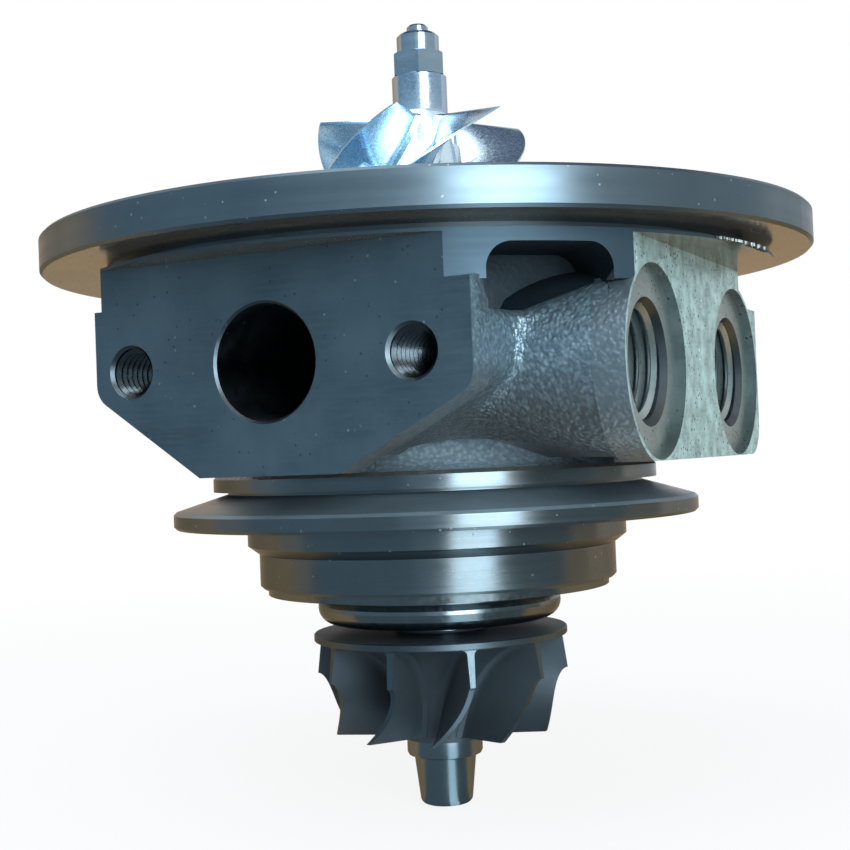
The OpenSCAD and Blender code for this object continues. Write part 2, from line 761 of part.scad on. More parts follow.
module heat_shield() {
    color("lightsteelblue")
        rotate_extrude()
            polygon(concat(
                [[shield_neck_in, z_pilot_end], [shield_flange_r, z_pilot_end],
                 [shield_flange_r, z_pilot_end - sheet_t], [shield_neck_r, z_pilot_end - sheet_t],
                 [shield_neck_r, z_shield_band]],
                arc(shield_roll_centre, shield_roll_r, shield_roll_start, -90, 10),
                [[shield_hole_r, z_shield_end], [shield_hole_r, z_shield_end + sheet_t],
                 [shield_neck_in, z_shield_end + sheet_t]]));
}

module rotor_shaft() {
    groove_r = boss_r - ring_groove_d;
    groove_half = ring_t / 2 + thrust_gap;
    tip_step = 0.3;
    tip_chamfer = 0.3;
    color("silver")
        rotate_extrude()
            polygon([[0, z_boss_end], [boss_r, z_boss_end], [boss_r, z_turb_ring - groove_half],
                     [groove_r, z_turb_ring - groove_half], [groove_r, z_turb_ring + groove_half],
                     [boss_r, z_turb_ring + groove_half], [boss_r, z_boss_top], [journal_r, z_boss_top],
                     [journal_r, z_shoulder], [stub_r, z_shoulder], [stub_r, z_nut_top + tip_step],
                     [tip_r, z_nut_top + tip_step], [tip_r, z_shaft_top - tip_chamfer],
                     [tip_r - tip_chamfer, z_shaft_top], [0, z_shaft_top]]);
}

// One blade: straight elements from root points to tip points, each at its own angle
module blade(roots, tips, turns, root_t, tip_t) {
    function place(p, turn, offset) =
        [p[0] * cos(turn) - offset * sin(turn), p[0] * sin(turn) + offset * cos(turn), p[1]];
    loft([for (i = [0:len(roots) - 1]) [
        place(roots[i], turns[i], -root_t / 2), place(roots[i], turns[i], root_t / 2),
        place(tips[i], turns[i], tip_t / 2), place(tips[i], turns[i], -tip_t / 2)]]);
}

// A root point carried a little way into the hub, along the blade's own straight element
function sunk(root, tip, depth) = root + (root - tip) / norm(root - tip) * depth;

module turbine_wheel() {
    steps = 14;
    lean = 2;
    tip_inset = 0.15;
    rim = turb_in_r - tip_inset;
    face_in = 0.8;
    root_end = 0.97;
    sink = 0.35;
    root_t = 1;
    tip_t = 0.6;
    hub_steps = 16;
    function hub_at(m) = [turb_hub_r + (turb_in_r - face_in - turb_hub_r) * (1 - sin(90 * m)),
                          z_turb_face - (turb_blade_l + hub_run) * (1 - cos(90 * m))];
    function tip_at(m) = [turb_out_r + (rim - turb_out_r) * (1 - sin(90 * m)),
                          z_turb_face - turb_in_h - (turb_blade_l - turb_in_h) * (1 - cos(90 * m))];
    tips = [for (i = [0:steps]) tip_at(i / steps)];
    roots = [for (i = [0:steps]) sunk(hub_at(root_end * i / steps), tips[i], sink)];
    turns = [for (i = [0:steps]) -turb_wrap * pow(1 - cos(90 * i / steps), lean)];
    nose_round = 0.9;
    nose_taper = 0.65;
    color("dimgray")
        union() {
            rotate_extrude()
                polygon(concat(
                    [[0, z_boss_end], [boss_r, z_boss_end], [boss_r, z_turb_back], [turb_in_r, z_turb_back],
                     [turb_in_r, z_turb_face]],
                    [for (i = [0:hub_steps]) hub_at(i / hub_steps)],
                    [[turb_hub_r, z_turb_step], [turb_nose_r, z_turb_step]],
                    arc([turb_nose_r - nose_taper - nose_round, z_turb_nose + nose_round],
                        nose_round, 0, -90, 5),
                    [[0, z_turb_nose]]));
            for (k = [0:turb_blades - 1])
                rotate([0, 0, turb_turn + 360 / turb_blades * k])
                    blade(roots, tips, turns, root_t, tip_t);
        }
}

module compressor_wheel() {
    steps = 16;
    hub_steps = 16;
    rim_gap = 0.2;
    sink = 0.4;
    root_t = 1;
    tip_t = 0.55;
    curl = 0.8;
    shroud_round = 1.5;
    hub_rise = 0.85;
    hub_in_z = z_comp_in + hub_rise;
    nose_step = 0.35;
    hub_in_r = comp_nose_r + nose_step;
    out_r = comp_out_r - rim_gap;
    function hub_at(m) = [hub_in_r + (out_r - hub_in_r) * (1 - cos(90 * m)),
                          z_comp_rim + (hub_in_z - z_comp_rim) * (1 - sin(90 * m))];
    function tip_at(m) = [comp_in_r + (out_r - comp_in_r) * pow(1 - cos(90 * m), shroud_round),
                          z_comp_rim + comp_out_h + (z_comp_in - z_comp_rim - comp_out_h) * (1 - sin(90 * m))];
    function turn_at(m) = -comp_wrap * ((1 + curl) * m - curl * m * m);
    color("gainsboro")
        difference() {
            union() {
                rotate_extrude()
                    polygon(concat(
                        [[0, z_wheel_back], [comp_out_r, z_wheel_back], [comp_out_r, z_comp_rim]],
                        [for (i = [hub_steps:-1:0]) hub_at(i / hub_steps)],
                        [[comp_nose_r, hub_in_z + hub_rise], [comp_nose_r, z_comp_nose], [0, z_comp_nose]]));
                for (k = [0:comp_blades - 1], first = [0, splitter_start]) {
                    course = [for (i = [0:steps]) first + (1 - first) * i / steps];
                    tips = [for (m = course) tip_at(m)];
                    roots = [for (m = course) sunk(hub_at(m), tip_at(m), sink)];
                    turns = [for (m = course) turn_at(m)];
                    pitch = 360 / comp_blades;
                    rotate([0, 0, comp_turn + pitch * k + (first > 0 ? pitch / 2 : 0)])
                        blade(roots, tips, turns, root_t, tip_t);
                }
            }
            translate([0, 0, z_wheel_back - overrun])
                cylinder(r = wheel_bore_r, h = z_comp_nose - z_wheel_back + 2 * overrun);
        }
}

module shaft_nut() {
    hex_r = nut_af / 2 / cos(30);
    hex_turn = -62;
    bevel = 0.4;
    nut_h = nut_hex_h + nut_collar_h;
    color("lightgray")
        translate([0, 0, z_comp_nose])
            difference() {
                union() {
                    intersection() {
                        rotate([0, 0, hex_turn])
                            cylinder(r = hex_r, h = nut_hex_h, $fn = 6);
                        cylinder(r1 = hex_r + nut_hex_h, r2 = nut_af / 2 + bevel / 2, h = nut_hex_h);
                    }
                    cylinder(r = nut_collar_r, h = nut_h - bevel);
                    translate([0, 0, nut_h - bevel])
                        cylinder(r1 = nut_collar_r, r2 = nut_collar_r - bevel, h = bevel);
                }
                translate([0, 0, -overrun])
                    cylinder(r = wheel_bore_r, h = nut_h + 2 * overrun);
            }
}

// A full-floating bush with its ring of oil holes
module floating_bush(z_mid) {
    color("darkgoldenrod")
        difference() {
            ring(bush_r, journal_r + bush_inner_gap, z_mid - bush_l / 2, bush_l);
            for (k = [0:bush_holes - 1])
                translate([0, 0, z_mid])
                    rotate([90, 0, 360 / bush_holes * k])
                        cylinder(r = bush_hole_r, h = bush_r + overrun);
        }
}

module compressor_side_bearing() {
    floating_bush(z_bush_1);
}

module turbine_side_bearing() {
    floating_bush(z_bush_2);
}

// A round clip in its groove, open at the split
module bearing_clip(index) {
    color("darkslategray")
        ring(clip_out_r, clip_in_r, clip_levels[index] - clip_t / 2, clip_t, 4 * spring_gap_deg);
}

module thrust_washer() {
    color("silver")
        ring(runner_r, wheel_bore_r, z_shoulder, runner_t);
}

module thrust_collar() {
    color("silver")
        union() {
            ring(sleeve_r, wheel_bore_r, z_washer_top, z_collar_face - z_washer_top + bond);
            ring(runner_r, wheel_bore_r, z_collar_face, runner_t);
        }
}

// The fixed plate between the two running faces, with oil grooves on both sides and a drain notch
module thrust_bearing() {
    groove_w = 1.2;
    groove_d = 0.3;
    notch_w = 9;
    notch_gap = 0.6;
    notch_y = runner_r + notch_gap;
    grooves = 4;
    color("goldenrod")
        difference() {
            ring(thrust_r, sleeve_r + bush_outer_gap, z_thrust_bot, thrust_t);
            for (x = [-1, 1])
                translate([x * thrust_pin_x, 0, z_thrust_bot - overrun])
                    cylinder(r = pin_r + slip, h = thrust_t + 2 * overrun);
            for (k = [0:grooves - 1], z = [z_thrust_bot - overrun, z_thrust_top - groove_d])
                rotate([0, 0, 45 + 360 / grooves * k])
                    translate([0, -groove_w / 2, z])
                        cube([runner_r, groove_w, groove_d + overrun]);
            translate([0, thrust_way_y, z_thrust_bot - overrun])
                cylinder(r = thrust_way_r, h = overrun + thrust_t / 2);
            translate([-notch_w / 2, -thrust_r - overrun, z_thrust_bot - overrun])
                cube([notch_w, thrust_r + overrun - notch_y, thrust_t + 2 * overrun]);
        }
}

module thrust_bearing_pins() {
    color("lightgray")
        for (x = [-1, 1])
            translate([x * thrust_pin_x, 0, z_thrust_bot - pin_depth])
                cylinder(r = pin_r, h = pin_depth + thrust_t);
}

// Sheet ring with a tongue that leads oil down to the drain
module oil_deflector() {
    ring_in = runner_r + runner_gap;
    notch_w = 8;
    color("gray")
        difference() {
            ring(seal_plate_r - bond, ring_in, z_thrust_top, deflector_t);
            translate([-notch_w / 2, -seal_plate_r - overrun, z_thrust_top - overrun])
                cube([notch_w, seal_plate_r - ring_in, deflector_t + 2 * overrun]);
        }
}

module oil_flinger() {
    seal_r = seal_bore_r - 2 * bush_outer_gap;
    groove_r = seal_r - ring_groove_d;
    collar_out = 1.2;
    lip_r = seal_r + collar_out;
    collar_t = 1;
    groove_half = ring_t / 2 + thrust_gap;
    color("silver")
        rotate_extrude()
            polygon([[wheel_bore_r, z_collar_top], [lip_r, z_collar_top], [lip_r, z_collar_top + collar_t],
                     [seal_r, z_collar_top + collar_t], [seal_r, z_comp_ring - groove_half],
                     [groove_r, z_comp_ring - groove_half], [groove_r, z_comp_ring + groove_half],
                     [seal_r, z_comp_ring + groove_half], [seal_r, z_wheel_back],
                     [wheel_bore_r, z_wheel_back]]);
}

module compressor_seal_ring() {
    r_out = seal_bore_r - slip / 2;
    color("darkslategray")
        ring(r_out, r_out - ring_w, z_comp_ring - ring_t / 2, ring_t, spring_gap_deg);
}

module seal_plate() {
    cavity_r = runner_r + runner_gap;
    cavity_rise = 1.5;
    cavity_top = z_collar_top + cavity_rise;
    groove_z = (z_seal_top + z_seal_bot) / 2;
    groove_side_gap = 0.2;
    groove_half = o_ring_d / 2 + groove_side_gap;
    groove_r = seal_plate_r - o_ring_d + slip;
    color("lightslategray")
        rotate_extrude()
            polygon([[cavity_r, z_seal_bot], [seal_plate_r, z_seal_bot], [seal_plate_r, groove_z - groove_half],
                     [groove_r, groove_z - groove_half], [groove_r, groove_z + groove_half],
                     [seal_plate_r, groove_z + groove_half], [seal_plate_r, z_seal_top],
                     [seal_bore_r, z_seal_top], [seal_bore_r, cavity_top], [cavity_r, cavity_top]]);
}

module seal_plate_o_ring() {
    color("black")
        rotate_extrude()
            translate([seal_plate_r + slip - o_ring_d / 2 + slip / 2, (z_seal_top + z_seal_bot) / 2])
                circle(r = o_ring_d / 2 - slip, $fn = 32);
}

module seal_plate_snap_ring() {
    snap_cover_r = 1.4;
    snap_in_r = seal_plate_r - snap_cover_r;
    color("darkslategray")
        ring(seal_plate_r + snap_groove_d - slip, snap_in_r, z_seal_top, snap_t, 2 * spring_gap_deg);
}

module turbine_seal_ring() {
    r_out = boss_bore_r - slip / 2;
    color("darkslategray")
        ring(r_out, r_out - ring_w, z_turb_ring - ring_t / 2, ring_t, spring_gap_deg);
}

bearing_housing();
heat_shield();
rotor_shaft();
turbine_wheel();
compressor_wheel();
shaft_nut();
compressor_side_bearing();
turbine_side_bearing();
bearing_clip(0);  // bearing_clip_1
bearing_clip(1);  // bearing_clip_2
bearing_clip(2);  // bearing_clip_3
bearing_clip(3);  // bearing_clip_4
thrust_washer();
thrust_bearing();
thrust_bearing_pins();
thrust_collar();
oil_deflector();
oil_flinger();
compressor_seal_ring();
seal_plate();
seal_plate_o_ring();
seal_plate_snap_ring();
turbine_seal_ring();
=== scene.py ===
# %% [markdown]
# # A turbo cartridge in the studio
# The solids of the cartridge come in as a fixed frame: every node already sits where it belongs, in
# metres, with the shaft along Z. This lesson dresses that frame. It sets up the camera and the light,
# builds the few pieces that a solid model leaves plain (smooth blades, screw threads, the rough cast
# neck, a burr), and gives each surface the finish that its machining left on it.

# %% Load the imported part
import math

import bpy
import numpy as np
from mathutils import Matrix, Vector, noise


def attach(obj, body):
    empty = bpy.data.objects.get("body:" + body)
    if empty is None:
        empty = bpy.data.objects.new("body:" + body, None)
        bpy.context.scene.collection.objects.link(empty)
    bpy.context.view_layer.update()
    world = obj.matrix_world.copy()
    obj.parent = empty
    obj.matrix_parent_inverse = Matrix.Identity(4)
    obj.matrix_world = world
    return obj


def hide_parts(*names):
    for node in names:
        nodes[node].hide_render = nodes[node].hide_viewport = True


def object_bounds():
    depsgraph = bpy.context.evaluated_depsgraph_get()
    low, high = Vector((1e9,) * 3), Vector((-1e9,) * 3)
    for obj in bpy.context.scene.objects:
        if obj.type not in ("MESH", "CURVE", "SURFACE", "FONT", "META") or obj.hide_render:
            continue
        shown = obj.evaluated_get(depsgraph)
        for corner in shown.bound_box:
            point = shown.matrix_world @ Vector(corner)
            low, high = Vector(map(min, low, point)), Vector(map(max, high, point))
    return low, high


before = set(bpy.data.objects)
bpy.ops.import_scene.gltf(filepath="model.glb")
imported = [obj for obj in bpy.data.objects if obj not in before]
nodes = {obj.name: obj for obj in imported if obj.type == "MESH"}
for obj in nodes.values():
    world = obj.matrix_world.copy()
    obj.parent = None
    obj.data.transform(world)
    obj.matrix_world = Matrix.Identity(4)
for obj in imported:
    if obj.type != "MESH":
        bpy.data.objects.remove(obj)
cad_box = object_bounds()
MM = 0.001

# %% [markdown]
# ## Camera
# The picture was taken almost level, from about 20 cm away and just above the turbine flange, with the
# drain face turned to the left. The camera could be aimed with a constraint, but then its roll would be
# lost. Its three axes are worked out here from a turn, a pitch and a roll, and written straight into
# its matrix.

# %% Camera
VIEW_TURN, VIEW_YAW = math.radians(28), -0.0053
VIEW_PITCH, VIEW_ROLL = 0.01962, 0.03895
CAMERA_PLACE = Vector((0.09737, -0.18312, -0.02857))
SENSOR_MM, LENS_MM, CLIP_FROM = 36, 61.03, 0.01

heading = Matrix.Rotation(VIEW_TURN, 3, "Z")
ahead = heading @ Vector((math.sin(VIEW_YAW) * math.cos(VIEW_PITCH),
                          math.cos(VIEW_YAW) * math.cos(VIEW_PITCH), math.sin(VIEW_PITCH)))
level_right = heading @ Vector((math.cos(VIEW_YAW), -math.sin(VIEW_YAW), 0))
level_up = level_right.cross(ahead)
right = math.cos(VIEW_ROLL) * level_right - math.sin(VIEW_ROLL) * level_up
upward = math.sin(VIEW_ROLL) * level_right + math.cos(VIEW_ROLL) * level_up
camera_axes = Matrix((right, upward, -ahead)).transposed()

camera_data = bpy.data.cameras.new("camera")
camera_data.sensor_width = SENSOR_MM
camera_data.lens = LENS_MM
camera_data.clip_start = CLIP_FROM
camera = bpy.data.objects.new("camera", camera_data)
camera.matrix_world = Matrix.Translation(CAMERA_PLACE) @ camera_axes.to_4x4()
bpy.context.scene.collection.objects.link(camera)
bpy.context.scene.camera = camera
bpy.context.scene.view_settings.view_transform = "Standard"
print("camera looks along", [round(v, 3) for v in ahead])

# %% [markdown]
# ## Helpers for meshes
# Every new piece is a list of points and faces, in millimetres, turned into a mesh object that rides on
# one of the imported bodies. One helper does that for all of them.

# %% Mesh helpers


def piece(name, points, faces, material, body, smooth=True, sharp_deg=40):
    """A mesh object from points in millimetres that rides on a body."""
    mesh = bpy.data.meshes.new(name)
    mesh.from_pydata([tuple(c * MM for c in p) for p in points], [], faces)
    obj = bpy.data.objects.new(name, mesh)
    bpy.context.scene.collection.objects.link(obj)
    mesh.materials.append(material)
    if smooth:
        mesh.shade_smooth()
        mesh.set_sharp_from_angle(angle=math.radians(sharp_deg))
    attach(obj, body)
    print(f"{name}: {len(mesh.vertices)} points, {len(mesh.polygons)} faces")
    return obj


def polar(r, angle, z):
    """A point at a radius and an angle in radians round the shaft."""
    return (r * math.cos(angle), r * math.sin(angle), z)


# %% [markdown]
# ## Shared surface effects
# Turning leaves rings, casting leaves grain, handling leaves specks and a film of oil. Each effect is
# used by several finishes, so each is a node group with its own inputs. A group only puts out numbers:
# the shader that uses them stays in the material.

# %% Node helpers


def link_in(tree, node, inputs):
    """Set a node's inputs by name or number: a socket is linked and a value is written."""
    for key, value in inputs.items():
        socket = node.inputs[key]
        if isinstance(value, bpy.types.NodeSocket):
            tree.links.new(value, socket)
        else:
            socket.default_value = value


def add(tree, kind, inputs=None, **settings):
    """A new node with its settings and inputs."""
    node = tree.nodes.new(kind)
    for key, value in settings.items():
        setattr(node, key, value)
    link_in(tree, node, inputs or {})
    return node


def maths(tree, operation, a, b=0.0):
    """The output of a math node."""
    return add(tree, "ShaderNodeMath", {0: a, 1: b}, operation=operation).outputs[0]


def ramp(tree, value, low, high, to_low=0.0, to_high=1.0):
    """A value carried from one range to another and held at the ends."""
    ranges = {"From Min": low, "From Max": high, "To Min": to_low, "To Max": to_high}
    return add(tree, "ShaderNodeMapRange", {"Value": value, **ranges}).outputs[0]


def blend(tree, factor, first, second):
    """A colour mixed from two others."""
    colour_sockets = {0: factor, 6: first, 7: second}
    return add(tree, "ShaderNodeMix", colour_sockets, data_type="RGBA").outputs[2]


def object_place(tree):
    """The point in the object's own space, which is the frame of the solids."""
    return add(tree, "ShaderNodeTexCoord").outputs["Object"]


def noise_at(tree, place, scale, detail, **inputs):
    """The outputs of a noise texture read at a place."""
    return add(tree, "ShaderNodeTexNoise", {
        "Vector": place, "Scale": scale, "Detail": detail, **inputs}).outputs


def new_group(name, inputs, outputs):
    """An empty shader node group with named float inputs and outputs."""
    tree = bpy.data.node_groups.new(name, "ShaderNodeTree")
    for key, value in inputs.items():
        socket = tree.interface.new_socket(key, in_out="INPUT", socket_type="NodeSocketFloat")
        socket.default_value = value
    for key in outputs:
        tree.interface.new_socket(key, in_out="OUTPUT", socket_type="NodeSocketFloat")
    return tree, tree.nodes.new("NodeGroupInput").outputs, tree.nodes.new("NodeGroupOutput")


# %% [markdown]
# ### Rings from the lathe
# A turning tool leaves fine rings round the axis. A wave texture would make them too even, so a noise
# texture is read at the point's radius and height only: everything at one radius and height gets the
# same value.

# %% Lathe rings group
STREAK_SHARE = 0.15
lathe_rings, given, out = new_group("lathe_rings", {"Fineness": 4000.0}, ["Height", "Streak"])
part = add(lathe_rings, "ShaderNodeSeparateXYZ", {0: object_place(lathe_rings)}).outputs
squares = [maths(lathe_rings, "POWER", part[axis], 2.0) for axis in (0, 1)]
radius = maths(lathe_rings, "SQRT", maths(lathe_rings, "ADD", *squares))
ring_place = add(lathe_rings, "ShaderNodeCombineXYZ", {0: radius, 2: part[2]}).outputs[0]
fine = noise_at(lathe_rings, ring_place, given["Fineness"], 3.0)
streak_scale = maths(lathe_rings, "MULTIPLY", given["Fineness"], STREAK_SHARE)
wide = noise_at(lathe_rings, ring_place, streak_scale, 2.0)
link_in(lathe_rings, out, {"Height": fine[0], "Streak": wide[0]})
print("group lathe_rings has", len(lathe_rings.nodes), "nodes")

# %% [markdown]
# ### Grain of a sand casting
# Cast iron copies the sand: round grains of about half a millimetre over softer swellings. Smooth
# Voronoi cells, bent a little by a noise, give the grains and a second noise gives the swellings. Both
# go out as one height, the cells' crests as a mask that a finish brightens with a painted highlight,
# and a third noise as wide patches.

# %% Cast grain group
WARP_SHARE, SWELL_SHARE, PATCH_SHARE = 0.7, 0.25, 0.06
WARP_REACH, CREST_SHARE = (0.0006, 0.0006, 0.0006), 0.6
cast_grain, given, out = new_group("cast_grain", {"Scale": 1500.0}, ["Height", "Crest", "Patch"])
place = object_place(cast_grain)
warp, swell, patch = [
    noise_at(cast_grain, place, maths(cast_grain, "MULTIPLY", given["Scale"], share), detail)
    for share, detail in ((WARP_SHARE, 3.0), (SWELL_SHARE, 4.0), (PATCH_SHARE, 3.0))]
bent = add(cast_grain, "ShaderNodeVectorMath", {0: warp["Color"], 1: WARP_REACH, 2: place},
           operation="MULTIPLY_ADD").outputs[0]
cells = add(cast_grain, "ShaderNodeTexVoronoi", {"Vector": bent, "Scale": given["Scale"]},
            feature="SMOOTH_F1").outputs
crest = ramp(cast_grain, cells["Distance"], 0.55, 0.05)
height = maths(cast_grain, "ADD", maths(cast_grain, "MULTIPLY", crest, CREST_SHARE), swell[0])
link_in(cast_grain, out, {"Height": height, "Crest": crest,
                          "Patch": ramp(cast_grain, patch[0], 0.35, 0.65)})
print("group cast_grain has", len(cast_grain.nodes), "nodes")

# %% [markdown]
# ### Specks
# Small specks of dried fluid and pores in milled iron are sparse dots of many sizes. Each Voronoi cell
# has a random colour, so its red picks the cells that carry a dot and its green the dot's size.

# %% Specks group
SMALLEST, CORE = 0.4, 0.6
specks, given, out = new_group("specks", {"Scale": 500.0, "Share": 0.1, "Size": 0.3}, ["Mask"])
dots = add(specks, "ShaderNodeTexVoronoi", {
    "Vector": object_place(specks), "Scale": given["Scale"]}).outputs
chance = add(specks, "ShaderNodeSeparateColor", {0: dots["Color"]}).outputs
chosen = maths(specks, "GREATER_THAN", given["Share"], chance[0])
edge = maths(specks, "MULTIPLY", given["Size"], ramp(specks, chance[1], 0.0, 1.0, SMALLEST, 1.0))
inside = ramp(specks, dots["Distance"], edge, maths(specks, "MULTIPLY", edge, CORE))
link_in(specks, out, {"Mask": maths(specks, "MULTIPLY", chosen, inside)})
print("group specks has", len(specks.nodes), "nodes")

# %% [markdown]
# ### Soft blotches
# Oil film, fingerprints and uneven oxide show as wide soft blotches. One noise, sharpened a little, is
# enough.

# %% Blotches group
blotches, given, out = new_group("blotches", {"Scale": 60.0}, ["Mask"])
cloud = noise_at(blotches, object_place(blotches), given["Scale"], 5.0, Roughness=0.6)
link_in(blotches, out, {"Mask": ramp(blotches, cloud[0], 0.35, 0.68)})
print("group blotches has", len(blotches.nodes), "nodes")

# %% [markdown]
# ## Finishes
# Each finish is one material. A small helper starts it with a Principled shader whose constant values
# are set on its own sockets, and another places a group in it.

# %% Material helpers


def finish(name, color, metallic, roughness, **constants):
    """A material with a Principled shader; returns it with its node tree and shader."""
    material = bpy.data.materials.new(name)
    material.use_nodes = True
    tree = material.node_tree
    shader = tree.nodes["Principled BSDF"]
    link_in(tree, shader, {"Base Color": (*color, 1.0), "Metallic": metallic, "Roughness": roughness})
    link_in(tree, shader, constants)
    return material, tree, shader


def effect(tree, group, **inputs):
    """A placed group's outputs."""
    return add(tree, "ShaderNodeGroup", inputs, node_tree=group).outputs


def relief(tree, shader, height, distance_mm, strength):
    """A bump of a real depth on a shader's normal."""
    bump = add(tree, "ShaderNodeBump", {
        "Height": height, "Distance": distance_mm * MM, "Strength": strength})
    tree.links.new(bump.outputs[0], shader.inputs["Normal"])


def rgb(r, g, b):
    """A colour with full alpha."""
    return (r, g, b, 1.0)


# %% [markdown]
# ### Turned steel and iron
# The disc, the flange and the pilot are turned, so they share one recipe: fine rings in the relief,
# streaks in the roughness, specks where fluid dried, and blotches of a second tint. Anisotropy
# stretches the highlight across the rings, as on any brushed part. Its direction comes from a tangent
# that runs round Z, and a quarter turn lays the stretch along the axis.

# %% Turned finishes
EDGE_TINT = rgb(0.55, 0.58, 0.60)
STRETCH, STRETCH_TURN = 0.6, 0.25


def turned(name, color, tint, roughness, fineness, depth_mm, speck_color, speck_share, metallic=1.0):
    """A lathe-turned metal with a second tint in blotches and specks on it."""
    material, tree, shader = finish(name, color, metallic, roughness, **{
        "Anisotropic": STRETCH, "Anisotropic Rotation": STRETCH_TURN, "Specular Tint": EDGE_TINT})
    rings = effect(tree, lathe_rings, Fineness=fineness)
    dirt = effect(tree, specks, Scale=1700.0, Share=speck_share, Size=0.35)["Mask"]
    cloud = effect(tree, blotches, Scale=70.0)["Mask"]
    base = blend(tree, cloud, rgb(*color), rgb(*tint))
    base = blend(tree, dirt, base, rgb(*speck_color))
    streaked = ramp(tree, rings["Streak"], 0.3, 0.7, roughness - 0.06, roughness + 0.08)
    rough = maths(tree, "ADD", streaked, maths(tree, "MULTIPLY", dirt, 0.3))
    around = add(tree, "ShaderNodeTangent", direction_type="RADIAL", axis="Z").outputs[0]
    link_in(tree, shader, {"Base Color": base, "Roughness": rough, "Tangent": around})
    relief(tree, shader, rings["Height"], depth_mm, 0.5)
    return material


disc_turned = turned("disc_turned", (0.175, 0.22, 0.25), (0.14, 0.18, 0.21), 0.34, 3500.0, 0.012,
                     (0.42, 0.48, 0.52), 0.06)
# The disc's top is a paler copy of the same steel: painted light for the blades to reflect.
disc_top_painted_light = turned("disc_top_painted_light", (0.50, 0.61, 0.67), (0.43, 0.53, 0.59), 0.32, 3500.0, 0.012,
                  (0.30, 0.34, 0.36), 0.04)
# The undersides are painted tan: a painted reflection of the wooden board below.
disc_under_painted_reflection = turned("disc_under_painted_reflection", (0.46, 0.40, 0.32), (0.38, 0.33, 0.27), 0.14, 2500.0, 0.004,
                    (0.10, 0.08, 0.06), 0.16, metallic=0.85)
undercut_turned = turned("undercut_turned", (0.17, 0.21, 0.23), (0.13, 0.16, 0.18), 0.40, 3000.0, 0.015,
                         (0.24, 0.28, 0.30), 0.03, metallic=0.6)
land_turned = turned("land_turned", (0.068, 0.103, 0.13), (0.056, 0.085, 0.108), 0.44, 3000.0, 0.015,
                     (0.12, 0.15, 0.17), 0.03, metallic=0.6)
flange_turned = turned("flange_turned", (0.18, 0.215, 0.235), (0.165, 0.18, 0.18), 0.24, 3500.0, 0.012,
                       (0.40, 0.44, 0.46), 0.06)
# The taper is a paler copy of the flange's steel: painted light on its upward face.
taper_painted_light = turned("taper_painted_light", (0.26, 0.33, 0.37), (0.20, 0.25, 0.28), 0.36, 3000.0, 0.015,
                      (0.44, 0.48, 0.50), 0.05, metallic=0.5)
print("turned finishes:", [m.name for m in (disc_turned, disc_top_painted_light, disc_under_painted_reflection, undercut_turned,
                                            land_turned, flange_turned, taper_painted_light)])

# %% [markdown]
# ### Milled faces
# The drain face, the coolant face and the spot faces of its two ports are milled flat. The drain face
# is smooth and painted dark blue-grey, a painted reflection of the dark room in front of it; the coolant
# face is paler, with open pores of the iron showing as dark dots. All get faint straight milling lines
# from a noise that is stretched along one direction, in the colour and in the roughness, and a few pale
# flecks of bare metal.

# %% Milled finishes
FLECK_GAIN = 1.9


def milled(name, color, tint, roughness, pore_color, pore_share, pore_scale, line_scale, metallic,
           cloud_scale):
    """A milled iron face with stretched tool lines, pores and flecks."""
    material, tree, shader = finish(name, color, metallic, roughness)
    stretched = add(tree, "ShaderNodeVectorMath", {0: object_place(tree), 1: line_scale},
                    operation="MULTIPLY").outputs[0]
    lines = noise_at(tree, stretched, 1.0, 4.0)[0]
    pores = effect(tree, specks, Scale=pore_scale, Share=pore_share, Size=0.32)["Mask"]
    cloud = effect(tree, blotches, Scale=cloud_scale)["Mask"]
    flecks = effect(tree, specks, Scale=1150.0, Share=0.07, Size=0.26)["Mask"]
    base = blend(tree, cloud, rgb(*color), rgb(*tint))
    base = blend(tree, ramp(tree, lines, 0.42, 0.72, 0.0, 0.45), base, rgb(*tint))
    base = blend(tree, pores, base, rgb(*pore_color))
    base = blend(tree, flecks, base, rgb(*(min(1.0, FLECK_GAIN * c) for c in tint)))
    streaked = ramp(tree, lines, 0.3, 0.7, roughness - 0.05, roughness + 0.07)
    rough = maths(tree, "ADD", streaked, maths(tree, "MULTIPLY", pores, 0.2))
    link_in(tree, shader, {"Base Color": base, "Roughness": rough})
    height = maths(tree, "SUBTRACT", maths(tree, "MULTIPLY", lines, 0.3), pores)
    relief(tree, shader, height, 0.05, 0.5)
    return material


# The drain face's dark blue-grey is a painted reflection of the dark room in front.
drain_painted_reflection = milled("drain_painted_reflection", (0.030, 0.056, 0.075), (0.058, 0.093, 0.118), 0.44,
                      (0.024, 0.044, 0.058), 0.14, 1500.0, (220.0, 220.0, 2600.0), 0.35, 80.0)
port_milled = milled("port_milled", (0.15, 0.245, 0.24), (0.45, 0.65, 0.64), 0.40,
                     (0.025, 0.034, 0.031), 0.75, 1300.0, (300.0, 300.0, 2600.0), 0.5, 420.0)
spot_milled = milled("spot_milled", (0.13, 0.165, 0.16), (0.20, 0.25, 0.24), 0.36,
                     (0.03, 0.04, 0.037), 0.40, 1500.0, (300.0, 300.0, 2600.0), 0.6, 200.0)
print("milled finishes:", drain_painted_reflection.name, port_milled.name, spot_milled.name)

# %% [markdown]
# ### Cast iron
# The as-cast skin is dark, rough and a little glossy with oil, and the crests of its grains carry a
# painted highlight as sparkle. Low down it turns darker and warm brown, a painted brown shade, and there
# the painted highlight on the crests is weaker. The relief is a bump here; on the neck, which is close
# to the eye, a separate skin with real grains is laid over the casting further on. The pocket in the
# neck is painted darker, as painted shade, and it is duller.

# %% Cast finishes
# How much painted brown shade sets in low down, and how much painted highlight the crests get.
LOW_SHADE_SHARE, SPARKLE_SHARE = 0.7, 0.7


